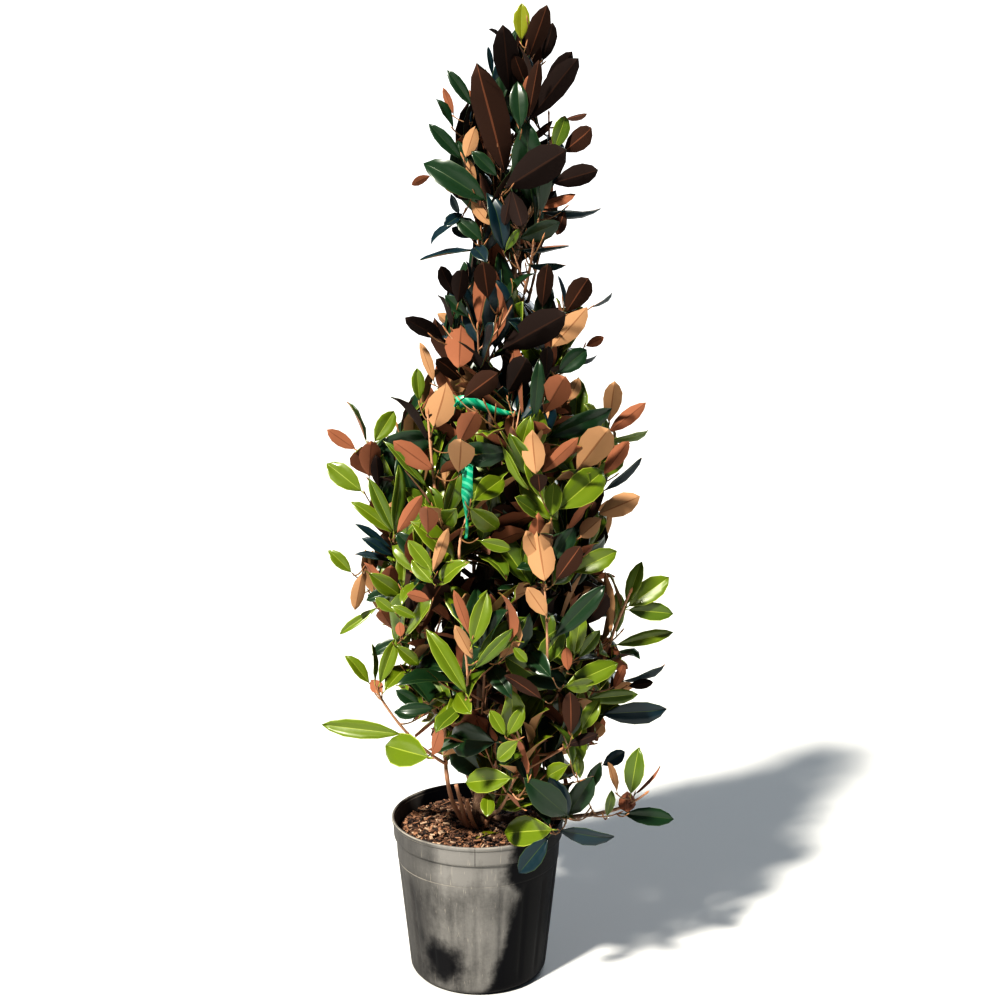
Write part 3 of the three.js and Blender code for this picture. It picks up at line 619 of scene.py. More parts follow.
class Room:
    """Where leaves and twigs may be: inside the crown, clear of the wood, the pot and one another."""

    OFF_WOOD, OFF_POT, APART = 0.003, 0.008, 0.010

    def __init__(self, limbs):
        stretches = [(TRUNK_CURVE, trunk_radius, 16)]
        stretches += [(limb.curve, lambda t: lerp(BOUGH_RADIUS, BOUGH_TIP, t), 4) for limb in limbs]
        rows = [
            (*curve.point(i / steps), *curve.point((i + 1) / steps), radius(i / steps))
            for curve, radius, steps in stretches
            for i in range(steps)
        ]
        table = np.array(rows)
        self.starts, self.ends, self.radii = table[:, 0:3], table[:, 3:6], table[:, 6]
        heights = np.linspace(TRUNK_LINE[0][2], TRUNK_LINE[-1][2], 200)
        self.heights = heights
        self.line = np.array([trunk_at(z)[:] for z in heights])
        self.open_side = np.array(bearing(OPEN_BEARING)[:2])
        self.taken = np.zeros((0, 3))
        self.shown = np.zeros((0, 7))
        self.openings = np.array(OPENINGS)

    def in_crown(self, points):
        z = points[:, 2]
        heights, reaches = zip(*CROWN)
        reach = np.interp(z, heights, reaches, left=0, right=0)
        x = points[:, 0] - np.interp(z, self.heights, self.line[:, 0])
        y = points[:, 1] - np.interp(z, self.heights, self.line[:, 1])
        reach = reach * self.raggedness(points.mean(0))
        is_open = (z < OPEN_HEIGHT) & (x * self.open_side[0] + y * self.open_side[1] > OPEN_REACH)
        spots = seen(points)
        levels, lefts, rights = zip(*OUTLINE)
        right_of = spots[:, 0] > np.interp(spots[:, 1], levels, lefts)
        left_of = spots[:, 0] < np.interp(spots[:, 1], levels, rights)
        return bool(np.all((np.hypot(x, y) < reach) & ~is_open & right_of & left_of))

    def raggedness(self, place):
        """How far out of its full reach the crown comes near a place. It varies from spray to spray."""
        uneven = noise.noise(Vector(place * (7.5, 7.5, 5.0)) + Vector((3.1, 0, 0)))
        return min(1.0, 0.90 + 0.5 * uneven)

    def off_pot(self, points):
        above = points[:, 2] > RIM_HEIGHT + self.OFF_POT
        return bool(np.all(above | (np.hypot(points[:, 0], points[:, 1]) > RIM_RADIUS + self.OFF_POT)))

    def off_wood(self, points, margin):
        return bool(np.all(to_segments(points, self.starts, self.ends) > self.radii + margin))

    def fits(self, points, margin):
        return self.in_crown(points) and self.off_pot(points) and self.off_wood(points, margin)

    def is_free(self, points):
        near = self.taken[np.abs(self.taken - points.mean(0)).max(1) < 0.1]
        if len(near) == 0:
            return True
        return bool(np.linalg.norm(points[:, None] - near[None], axis=2).min() > self.APART)

    def take(self, points):
        self.taken = np.vstack([self.taken, points])

    def show(self, foot, tip, width):
        """Keeps the view to a leaf or a tape open, from the viewpoint to a stretch in the crown."""
        start, end = seen(np.array([foot[:], tip[:]]))
        length = float(np.linalg.norm(end - start))
        behind = (foot.y + tip.y) / 2 + 0.005
        row = [*(start + end) / 2, *(end - start) / length, length / 2, width / 2, behind]
        self.shown = np.vstack([self.shown, row])

    def hides(self, points):
        """Whether any of the points fills an opening, or stands before a stretch that is kept in view."""
        spots = seen(points)
        away = np.linalg.norm(spots[:, None] - self.openings[None, :, 0:2], axis=2)
        if np.any(away < self.openings[:, 2]):
            return True
        gap = spots[:, None] - self.shown[None, :, 0:2]
        across_x, across_z = self.shown[:, 2], self.shown[:, 3]
        along = (gap[..., 0] * across_x + gap[..., 1] * across_z) / self.shown[:, 4]
        across = (gap[..., 0] * across_z - gap[..., 1] * across_x) / self.shown[:, 5]
        return bool(np.any((along**2 + across**2 < 1) & (points[:, 1:2] < self.shown[:, 6])))


def grow_twigs(limbs, room, settings):
    """Every stem, side shoot and fine twig, with the room it needs."""
    twigs = []
    leader = Limb("leader", "crest", TRUNK_CURVE, LEADER_LENGTH)
    for index, limb in enumerate([*limbs, leader]):
        stem = stem_of(limb)
        twigs.append(Twig(limb.tier, stem, STEM_RADIUS, 0.0024, 0))
        draw = Draws(SEED + 100 + index)
        for shoot in shoot_curves(stem, draw):
            if not has_room(shoot, room):
                continue
            twigs.append(Twig(limb.tier, shoot, SHOOT_RADIUS, 0.0018, 1))
            for fine in fine_curves(shoot, settings.fine_twigs, settings.fine_length, draw):
                if has_room(fine, room):
                    twigs.append(Twig(limb.tier, fine, 0.002, 0.0015, 2))
    return twigs


def has_room(curve, room):
    return room.fits(np.array([curve.point(t)[:] for t in (0.3, 0.65, 1)]), SHOOT_RADIUS + room.OFF_WOOD)


class Wood:
    """Points along everything that a spray can spring from."""

    def __init__(self, limbs, twigs):
        self.points = np.zeros((0, 3))
        self.tiers = []
        for limb in limbs:
            self.add(limb.tier, limb.curve, 12)
        for twig in twigs:
            self.add(twig.tier, twig.curve, 12)

    def add(self, tier, curve, steps):
        rows = [curve.point(lerp(0.15, 0.95, i / steps))[:] for i in range(steps + 1)]
        self.points = np.vstack([self.points, rows])
        self.tiers += [tier] * len(rows)

    def spray_twig(self, foot, radius=0.0019, tip=0.0013):
        """A thin twig that sags out of the nearest wood below a foot and rises to it."""
        gaps = np.linalg.norm((self.points - np.array(foot[:])) * (1.5, 0.7, 1.5), axis=1)
        above = self.points[:, 2] > foot.z - 0.010
        nearest = int(np.argmin(gaps + above * 0.25))
        start = Vector(self.points[nearest])
        sag = UP * (0.18 * (foot - start).length)
        curve = Curve(start, (start + foot) / 2 - sag, foot)
        self.add(self.tiers[nearest], curve, 4)
        return Twig(self.tiers[nearest], curve, radius, tip, 4)


# ---------------------------------------------------------------- leaves

LEAF_ROWS = [0.0, 0.09, 0.26, 0.48, 0.70, 0.89, 1.0]
LEAF_WIDTHS = [0.03, 0.33, 0.77, 1.00, 0.94, 0.54, 0.02]  # shares of the half width at those rows
UPPER_COLUMNS = [-1.0, -0.94, -0.46, -0.035, 0.035, 0.46, 0.94, 1.0]
UNDER_COLUMNS = [-1.0, -0.06, 0.06, 1.0]
PETIOLE = 0.12  # of the blade's length
BLADE, RIB, UNDER, UNDER_RIB, STALK = range(5)

Shape = namedtuple("Shape", "width fold droop hook wave phase twist cup")


def bend_leaf(share, side, lift, shape):
    """A point of a leaf of length 1: along +Y, across X, with the glossy face up +Z."""
    x = side * float(np.interp(share, LEAF_ROWS, LEAF_WIDTHS)) * shape.width / 2
    edge = abs(side)
    z = lift + abs(x) * shape.fold + shape.cup * edge * (1 - edge) * shape.width
    z += shape.wave * edge * edge * math.sin(2 * math.pi * (1.6 * share + shape.phase) + (side > 0) * 1.9)
    z -= shape.droop * share * share + shape.hook * max(0.0, share - 0.7) ** 2 * 9
    turn = shape.twist * share
    return x * math.cos(turn) - z * math.sin(turn), share, x * math.sin(turn) + z * math.cos(turn)


def leaf_faces():
    """The faces that every leaf has, the kind of each, and the vertex pairs along its margin."""
    rows, top, under = len(LEAF_ROWS), len(UPPER_COLUMNS), len(UNDER_COLUMNS)
    upper = lambda r, c: r * top + c
    offset = rows * top

    def lower(r, c):
        if c == 0:
            return upper(r, 0)
        if c == under - 1:
            return upper(r, top - 1)
        return offset + r * (under - 2) + c - 1

    faces, kinds = [], []
    for r in range(rows - 1):
        for c in range(top - 1):
            faces.append((upper(r, c), upper(r, c + 1), upper(r + 1, c + 1), upper(r + 1, c)))
            kinds.append(RIB if c in (0, top // 2 - 1, top - 2) else BLADE)
        for c in range(under - 1):
            faces.append((lower(r, c), lower(r + 1, c), lower(r + 1, c + 1), lower(r, c + 1)))
            kinds.append(UNDER_RIB if c == 1 else UNDER)
    base = offset + rows * (under - 2)
    for i in range(3):
        j = (i + 1) % 3
        faces.append((base + i, base + 3 + i, base + 3 + j, base + j))
        kinds.append(STALK)
    for r in (0, rows - 1):
        ring = [upper(r, c) for c in range(top)] + [lower(r, c) for c in range(under - 2, 0, -1)]
        faces.append(tuple(reversed(ring)) if r == rows - 1 else tuple(ring))
        faces[-1] = faces[-1][::-1]
        kinds.append(UNDER_RIB)
    margin = [(upper(r, c), upper(r + 1, c)) for r in range(rows - 1) for c in (0, top - 1)]
    return faces, kinds, margin


def leaf_points(shape):
    """The vertices of one leaf of blade length 1, its petiole's foot at the origin."""
    points = []
    for share in LEAF_ROWS:
        for side in UPPER_COLUMNS:
            lift = -0.008 if abs(side) < 0.1 else 0.005 * (abs(side) < 1)
            points.append(bend_leaf(share, side, lift, shape))
    for share in LEAF_ROWS:
        for side in UNDER_COLUMNS[1:-1]:
            points.append(bend_leaf(share, side, lerp(-0.024, -0.012, share), shape))
    for y, radius in ((-PETIOLE, 0.014), (0.03, 0.012)):
        for i in range(3):
            turn = i * 2 * math.pi / 3 + math.pi / 6
            points.append((radius * math.cos(turn), y, radius * math.sin(turn) - 0.008))
    return np.array(points) + (0, PETIOLE, 0)


def leaf_shapes(count):
    """A handful of blades that differ in width, fold, droop, hooked tip, wavy margin and twist."""
    draw = Draws(SEED + 7)
    shapes = []
    for _ in range(count):
        shapes.append(
            Shape(
                width=draw.between(0.36, 0.48),
                fold=draw.between(0.08, 0.55),
                droop=draw.between(-0.10, 0.26),
                hook=draw.between(-0.06, 0.20),
                wave=draw.between(0.004, 0.024),
                phase=draw(),
                twist=draw.between(-0.6, 0.6),
                cup=draw.between(0.02, 0.16),
            )
        )
    return shapes


Leaf = namedtuple("Leaf", "tier root u v w size shape tint")
PROBES = [(0.25, 0), (0.5, -0.7), (0.5, 0.7), (0.75, 0), (1.0, 0)]
BROADEST = 0.50  # width of the broadest blade, as a share of its length


class Leaves:
    """Sets leaves on the twigs, each in a place of its own."""

    def __init__(self, room, settings):
        self.room = room
        self.settings = settings
        self.shapes = leaf_shapes(14)
        self.common = len(self.shapes)
        self.probes = [
            np.array([bend_leaf(t, s, 0, shape) for t, s in PROBES]) + (0, PETIOLE, 0) for shape in self.shapes
        ]
        edge = [(0.35, -1), (0.35, 1), (0.7, -1), (0.7, 1), (0.9, 0), (1, 0)]
        self.edges = [
            np.array([bend_leaf(t, s, 0, shape) for t, s in edge]) + (0, PETIOLE, 0) for shape in self.shapes
        ]
        self.leaves = []

    def lay(self, twig, share, turn, draw):
        """One place for a leaf. High in the crown, and at a twig's end, leaves stand closer to the twig."""
        root = twig.curve.point(share)
        axis = twig.curve.tangent(share)
        lowness = min(max(1 - (root.z - RIM_HEIGHT) / 1.4, 0), 1)
        wider = lerp(0.8, 1.15, lowness) * draw.around(0.25)
        open_angle = lerp(1.25, 0.42, share**2) * wider
        direction = axis * math.cos(open_angle) + side_of(axis, turn) * math.sin(open_angle)
        direction.z -= 0.3 * lowness * draw()
        direction = direction.lerp(UP, lerp(0.42, 0.04, lowness) * draw.around(0.6)).normalized()
        tilt = side_of(axis, draw() * 2 * math.pi)
        face = axis.lerp(UP, 0.6 * lowness).normalized() + tilt * 0.55
        normal = (face - direction * face.dot(direction)).normalized()
        return root, direction, normal

    def grow(self, twig, count, draw, tint_of):
        first = (0.3, 0.12, 0.25, 0.35, 0.3, 0.8)[twig.level]
        turn = draw() * 2 * math.pi
        for i in range(count):
            share = lerp(first, 0.985, ((i + 0.5) / count) ** 0.55)
            for _ in range(self.settings.tries):
                turn += GOLDEN_ANGLE
                root, u, v = self.lay(twig, share, turn, draw)
                w = u.cross(v)
                height = lerp(1.0, 1.28, min(max((root.z - 1.3) / 0.5, 0), 1))
                size = self.settings.leaf_length * height * draw.around(0.24)
                shape = int(draw() * self.common)
                basis = np.array([w[:], u[:], v[:]]) * size
                start = np.array(root[:])
                margin = start + self.edges[shape] @ basis
                spots = start + self.probes[shape] @ basis
                if not self.room.fits(margin, self.room.OFF_WOOD):
                    continue
                if self.room.hides(np.vstack([margin, spots])) or not self.room.is_free(spots):
                    continue
                self.room.take(spots)
                self.leaves.append(Leaf(twig.tier, root, u, v, w, size, shape, tint_of(root, draw)))
                break


def front_depth(spot, share):
    """The depth at a share of the way from the trunk to the crown's front, behind a spot of the upright plane."""
    heights, reaches = zip(*CROWN)
    reach = float(np.interp(spot.z, heights, reaches))
    aside = spot.x - trunk_at(spot.z).x
    return -share * math.sqrt(max(reach**2 - aside**2, 0))


def lean_of(mark, along):
    """How far a marked leaf's tip leans to the viewer. One that looks too short for its width leans more."""
    lean = math.radians(mark.lean)
    shortened = math.acos(min(1, max(along.length * BROADEST * 1000 / mark.width, 0.6)))
    if shortened > abs(lean):
        lean = math.copysign(shortened, mark.lean or 0.42 * along.x - 0.73 * along.z)
    return lean


def marked_leaf(mark):
    """Where a marked leaf's blade starts and ends, its three directions, its length and its width."""
    foot, tip = (Vector((x, 0, z)) / 1000 for x, z in (mark.foot, mark.tip))
    depth = front_depth((foot + tip) / 2, mark.share)
    start = in_line(foot, depth)
    end = in_line(tip, depth - (tip - foot).length * math.tan(lean_of(mark, tip - foot)))
    u = (end - start).normalized()
    size = (end - start).length
    to_viewer = VIEWPOINT - start
    face = (to_viewer - u * to_viewer.dot(u)).normalized()
    turn = math.radians(mark.turn)
    v = face * math.cos(turn) + u.cross(face) * math.sin(turn)
    width = mark.width / 1000 * (1 - depth / VIEWPOINT.y) / max(abs(math.cos(turn)), 0.3)
    return start, end, u, v, size, min(width, 0.54 * size)


def both_faces(tint):
    """A leaf's two faces, from the one that shows."""
    return ("green_deep", tint) if tint.startswith("felt") else (tint, "felt_rust")


def grow_shown_shoots(wood, room):
    """The shoots that stand out, each with the twig that joins it to the nearest wood."""
    twigs = []
    for shoot in SHOWN_SHOOTS:
        spots = [Vector((x, 0, z)) / 1000 for x, z in shoot.line]
        steps = len(spots) - 1
        depths = [front_depth(spot, lerp(*shoot.shares, i / steps)) for i, spot in enumerate(spots)]
        curve = Curve(*[in_line(spot, depth) for spot, depth in zip(spots, depths)])
        foot = wood.spray_twig(curve.point(0), shoot.foot, shoot.foot)
        wood.add(foot.tier, curve, 10)
        room.show(curve.point(0.1), curve.point(0.9), 0.020)
        twigs += [foot, Twig(foot.tier, curve, shoot.foot, shoot.end, 5)]
    return twigs


def grow_marked(leaves, wood, room):
    """The marked leaves, each on a thin twig of its own from the nearest wood. Returns the twigs."""
    draw = Draws(SEED + 3)
    twigs = []
    for mark in MARKS:
        start, end, u, v, size, width = marked_leaf(mark)
        shape = Shape(
            width=width / size,
            fold=draw.between(0.14, 0.42),
            droop=draw.between(-0.04, 0.10),
            hook=draw.between(-0.04, 0.14),
            wave=draw.between(0.004, 0.022),
            phase=draw(),
            twist=draw.between(-0.25, 0.25),
            cup=draw.between(0.02, 0.12),
        )
        drop = shape.droop + shape.hook * 0.81
        stretch = math.hypot(1, drop)
        u, v = (u + v * drop) / stretch, (v - u * drop) / stretch
        size /= stretch
        root = start - u * (PETIOLE * size)
        twig = wood.spray_twig(root)
        twigs.append(twig)
        leaves.shapes.append(shape)
        w = u.cross(v)
        basis = np.array([w[:], u[:], v[:]]) * size
        middle = np.array([bend_leaf(t, s, 0, shape) for t, s in PROBES]) + (0, PETIOLE, 0)
        room.take(np.array(root[:]) + middle @ basis)
        room.show(start, end, mark.width / 1000)
        place = len(leaves.shapes) - 1
        leaves.leaves.append(Leaf(twig.tier, root, u, v, w, size, place, both_faces(mark.tint)))
    along, flat = Vector((-0.96, -0.27, 0.02)).normalized(), Vector((0.02, 0.05, 1)).normalized()
    leaves.leaves.append(Leaf("low", FALLEN_LEAF, along, flat, along.cross(flat), 0.052, 0, ("lime", "lime")))
    return twigs


# ---------------------------------------------------------------- meshes


def joined_mesh(name, points, faces, kinds, materials, smooth=True):
    """A mesh from arrays: points, faces as a list of equal tuples or of mixed ones, and a material for each face."""
    mesh = bpy.data.meshes.new(name)
    mesh.from_pydata(points, [], faces)
    for material in materials:
        mesh.materials.append(material)
    mesh.polygons.foreach_set("material_index", np.asarray(kinds, np.int32))
    mesh.polygons.foreach_set("use_smooth", np.full(len(mesh.polygons), smooth))
    mesh.update()
    piece = bpy.data.objects.new(name, mesh)
    bpy.context.scene.collection.objects.link(piece)
    return piece


def settle(piece, slot, *nodes):
    """Ties a piece to the plant's one body and hides the solids it stands for. The finish slot it is given is not
    used.
    """
    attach(piece, "root")
    if nodes:
        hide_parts(*nodes)
    return piece


def piece_from(name, bm, materials, smooth=True):
    mesh = bpy.data.meshes.new(name)
    bm.to_mesh(mesh)
    bm.free()
    for material in materials:
        mesh.materials.append(material)
    mesh.polygons.foreach_set("use_smooth", np.full(len(mesh.polygons), smooth))
    piece = bpy.data.objects.new(name, mesh)
    bpy.context.scene.collection.objects.link(piece)
    return piece


def ring_frame(curve, t):
    """The place of a limb's ring: its middle on the curve, its own Z along it."""
    axis = curve.tangent(t)
    u = side_of(axis, 0)
    v = axis.cross(u)
    return Matrix.Translation(curve.point(t)) @ Matrix((u, v, axis)).transposed().to_4x4()


def add_limb(bm, curve, radius_at, rings, sides):
    """Extrudes a closed round limb of changing radius along a curve."""
    made = bmesh.ops.create_circle(bm, cap_ends=True, radius=1, segments=sides)
    ring = made["verts"]
    flip = [f for f in bm.faces if all(v in set(ring) for v in f.verts)]
    bmesh.ops.reverse_faces(bm, faces=flip)
    edges = [e for e in bm.edges if e.verts[0] in set(ring) and e.verts[1] in set(ring)]
    all_rings = [ring]
    for _ in range(rings):
        grown = bmesh.ops.extrude_edge_only(bm, edges=edges)["geom"]
        ring = [g for g in grown if isinstance(g, bmesh.types.BMVert)]
        edges = [g for g in grown if isinstance(g, bmesh.types.BMEdge) and all(v in set(ring) for v in g.verts)]
        all_rings.append(ring)
    for i, ring in enumerate(all_rings):
        t = i / rings
        place = ring_frame(curve, t) @ Matrix.Diagonal((radius_at(t), radius_at(t), 1, 1))
        bmesh.ops.transform(bm, matrix=place, verts=ring)
    bmesh.ops.holes_fill(bm, edges=edges, sides=0)
    return [v for ring in all_rings for v in ring]


# ---------------------------------------------------------------- finishes


class Value:
    """A number that changes over a surface. Arithmetic on it adds Math nodes."""

    def __init__(self, finish, socket):
        self.finish = finish
        self.socket = socket

    def _math(self, operation, *terms):
        return self.finish.node("ShaderNodeMath", {"operation": operation}, *terms)

    def __add__(self, other):
        return self._math("ADD", self, other)

    def __sub__(self, other):
        return self._math("SUBTRACT", self, other)

    def __rsub__(self, other):
        return self._math("SUBTRACT", other, self)

    def __mul__(self, other):
        return self._math("MULTIPLY", self, other)

    __radd__ = __add__
    __rmul__ = __mul__

    def __truediv__(self, other):
        return self._math("DIVIDE", self, other)

    def __pow__(self, other):
        return self._math("POWER", self, other)

    def step(self, low, high):
        """0 below low and 1 above high, smooth between them."""
        settings = {"interpolation_type": "SMOOTHSTEP"}
        return self.finish.node("ShaderNodeMapRange", settings, self, low, high)


class Finish:
    """A node-based material in the making."""

    def __init__(self, name):
        self.material = bpy.data.materials.new(name)
        self.material.use_nodes = True
        self.tree = self.material.node_tree
        self.shader = self.tree.nodes["Principled BSDF"]
        self.place = self.tree.nodes.new("ShaderNodeTexCoord").outputs["Object"]

    def node(self, kind, settings, *values, out=0, **named):
        """Adds a node: its settings first, then values or links by place or by socket name."""
        made = self.tree.nodes.new(kind)
        for key, value in settings.items():
            setattr(made, key, value)
        for key, value in [*enumerate(values), *named.items()]:
            self.feed(made.inputs[key], value)
        return Value(self, made.outputs[out])

    def feed(self, socket, value):
        value = getattr(value, "socket", value)
        if isinstance(value, bpy.types.NodeSocket):
            self.tree.links.new(value, socket)
        elif value is not None:
            socket.default_value = value

    def stretched(self, x, y, z):
        return self.node("ShaderNodeMapping", {}, self.place, Scale=(x, y, z))

    def noise(self, scale, detail=3.0, place=None, rough=0.5):
        return self.node(
            "ShaderNodeTexNoise", {}, Vector=place or self.place, Scale=scale, Detail=detail, Roughness=rough
        )

    def cells(self, scale, place=None, feature="F1"):
        place = place or self.place
        return self.node("ShaderNodeTexVoronoi", {"feature": feature}, Vector=place, Scale=scale)

    def mix(self, share, a, b):
        """A colour between two colours."""
        factor, first, second, result = 0, 6, 7, 2
        made = self.tree.nodes.new("ShaderNodeMix")
        made.data_type = "RGBA"
        self.feed(made.inputs[factor], share)
        self.feed(made.inputs[first], colour(a))
        self.feed(made.inputs[second], colour(b))
        return Value(self, made.outputs[result])

    def bump(self, height, distance, strength=1.0):
        return self.node("ShaderNodeBump", {}, Height=height, Distance=distance, Strength=strength)

    def done(self, **sockets):
        for name, value in sockets.items():
            name = name.replace("_", " ")
            self.feed(self.shader.inputs[name], colour(value))
        return self.material


def colour(value):
    """A colour with its alpha, if the value is a plain colour, and the value itself if not."""
    return value if isinstance(value, (Value, float, int)) else (*value, 1)


def leaf_finish(name, base, rough, vary, gloss):
    """A leaf's skin: plain colour, with a gloss that is a little uneven."""
    skin = Finish(name)
    patches = skin.noise(70, 2)
    roughness = patches * vary + (rough - vary / 2)
    return skin.done(Base_Color=base, Roughness=roughness, Coat_Weight=gloss, Coat_Roughness=0.12)


def felt_finish(name, base):
    """The rust-brown felt under a leaf: matt, with a soft sheen."""
    felt = Finish(name)
    fibres = felt.noise(900, 2)
    return felt.done(
        Base_Color=base, Roughness=fibres * 0.2 + 0.7, Specular_IOR_Level=0.2, Sheen_Weight=0.06, Sheen_Roughness=0.5
    )


def bark_finish(settings):
    """Thin bark: grey over brown, with fine cracks along the limb and pale pores."""
    bark = Finish("bark")
    along = bark.stretched(1, 1, 0.16)
    cracks = bark.noise(260, 4, along, 0.65)
    patches = bark.noise(22, 3)
    pores = 1 - bark.cells(190, bark.stretched(1, 1, 2.2)).step(0.12, 0.3)
    tone = bark.mix(patches.step(0.35, 0.65), settings.bark_dark, settings.bark_light)
    tone = bark.mix(cracks.step(0.3, 0.62) * 0.7 + 0.15, settings.crack, tone)
    tone = bark.mix(pores * 0.6, tone, settings.pore)
    height = cracks * 0.8 + pores * 0.5 + bark.noise(900, 2) * 0.2
    return bark.done(Base_Color=tone, Roughness=cracks * 0.25 + 0.62, Normal=bark.bump(height, 0.0012, 0.7))


def young_bark_finish(settings):
    """Smooth tan bark with fine lengthwise grain and darker smudges."""
    bark = Finish("young_bark")
    grain = bark.noise(240, 4, bark.stretched(1, 1, 0.2), 0.6)
    smudges = bark.noise(60, 3).step(0.5, 0.68)
    tone = bark.mix(grain.step(0.2, 0.42), settings.twig_old, settings.twig_young)
    tone = bark.mix(smudges * 0.3, tone, settings.bark_dark)
    return bark.done(Base_Color=tone, Roughness=grain * 0.2 + 0.6, Normal=bark.bump(grain, 0.0008, 0.5))


def twig_finish(name, base):
    twig = Finish(name)
    grain = twig.noise(300, 3, twig.stretched(1, 1, 0.3))
    return twig.done(Base_Color=base, Roughness=grain * 0.3 + 0.5)


def pot_finish(settings):
    """Black moulded plastic with dust, fine scratches and pale lines along its ridges. Dust shows only on the front
    left; the right and back stay black as painted shade, and a black patch low on the front left is a painted shadow.
    """
    pot = Finish("pot_plastic")
    x = pot.node("ShaderNodeSeparateXYZ", {}, pot.place, out=0)
    y = pot.node("ShaderNodeSeparateXYZ", {}, pot.place, out=1)
    height = pot.node("ShaderNodeSeparateXYZ", {}, pot.place, out=2)
    runs = pot.noise(26, 4, pot.stretched(1, 1, 0.12), 0.6)
    clouds = pot.noise(9, 5, None, 0.65)
    fine = pot.noise(140, 4, None, 0.7)
    scratches = pot.noise(300, 2, pot.stretched(1, 1, 0.05)).step(0.66, 0.72)
    collar = height.step(0.255, 0.320)
    # Painted shade: this mask is 1 on the front left, where the dust shows, and 0 on the right and back, which stay
    # black. Its edge slants with height like a cast shadow's.
    painted_lit_side = (x * -0.8 - y * 0.6 + height * 0.28 - collar * 0.056 + clouds * 0.07).step(0.112, 0.142)
    # Painted shadow: a round black patch low on the front left, where the dust is taken away.
    shadow_blob_at = (-0.088, -0.152, 0.086)
    shadow_blob_distance = pot.node("ShaderNodeVectorMath", {"operation": "DISTANCE"}, pot.place, shadow_blob_at, out=1)
    painted_shadow_blob = 1 - (shadow_blob_distance + clouds * 0.10).step(0.078, 0.125)
    seam = (x.step(-0.0052, -0.0044) - x.step(-0.0036, -0.0028)) * height.step(0.3500, 0.3512)
    dust = (clouds * 0.7 + runs * 0.8 - 0.3).step(0.05, 0.75) * 0.65 + fine * 0.3 + 0.10 + collar * 0.15
    # Less dust towards the pot's left, which makes it darker there.
    damp = 1 - (x + clouds * 0.05).step(-0.120, -0.035)
    dust = (dust + collar * 0.18) * (painted_lit_side * 0.99 + 0.01) * (1 - painted_shadow_blob * 0.96) * (1 - seam * 0.8)
    dust = dust * (1 - damp * 0.62) * 1.12
    edges = 0
    for level in (0.3985, 0.3905, 0.3512, 0.2948):
        edges = (height.step(level - 0.0022, level - 0.0006) - height.step(level + 0.0004, level + 0.0018)) + edges
    tone = pot.mix(dust, settings.plastic, settings.dust)
    tone = pot.mix(scratches * dust * 0.5, tone, settings.scuff)
    # The pale ridge lines also fade out in the painted shade.
    tone = pot.mix(edges * clouds.step(0.35, 0.6) * (painted_lit_side * 0.7 + 0.04), tone, settings.scuff)
    rough = dust * 0.35 + 0.5
    relief = fine * 0.6 + runs * 0.4
    normal = pot.bump(relief, 0.0006, 0.5)
    return pot.done(Base_Color=tone, Roughness=rough, Specular_IOR_Level=0.16, Normal=normal)


def soil_finish(settings):
    soil = Finish("potting_mix")
    crumbs = soil.cells(130)
    damp = soil.noise(12, 3)
    tone = soil.mix(soil.noise(90, 4).step(0.35, 0.65), settings.soil_dark, settings.soil_light)
    tone = soil.mix(damp.step(0.45, 0.7) * 0.6, tone, settings.soil_dark)
    return soil.done(Base_Color=tone, Roughness=damp * 0.2 + 0.75, Normal=soil.bump(crumbs, 0.003, 1.0))


def chip_finish(name, base):
    chip = Finish(name)
    grain = chip.noise(400, 3, chip.stretched(1, 0.2, 1))
    return chip.done(Base_Color=base, Roughness=grain * 0.3 + 0.62)


def tape_finish(settings):
    """Stretchy green plastic tape, thin and a little shiny, with pale stretch marks across it."""
    tape = Finish("plant_tape")
    bands = {"wave_type": "BANDS", "bands_direction": "DIAGONAL"}
    marks = tape.node("ShaderNodeTexWave", bands, tape.place, 35.0, 2.0, out=1).step(0.55, 0.8)
    tone = tape.mix(marks * 0.4, settings.tape, settings.tape_pale)
    return tape.done(Base_Color=tone, Roughness=marks * 0.25 + 0.3)


# ---------------------------------------------------------------- settings


def colour_property(name, description, default):
    return FloatVectorProperty(
        name=name, description=description, default=default, subtype="COLOR", min=0, max=1
    )


def length_property(name, description, default):
    return FloatProperty(name=name, description=description, default=default, unit="LENGTH")


def count_property(name, description, default):
    return IntProperty(name=name, description=description, default=default)


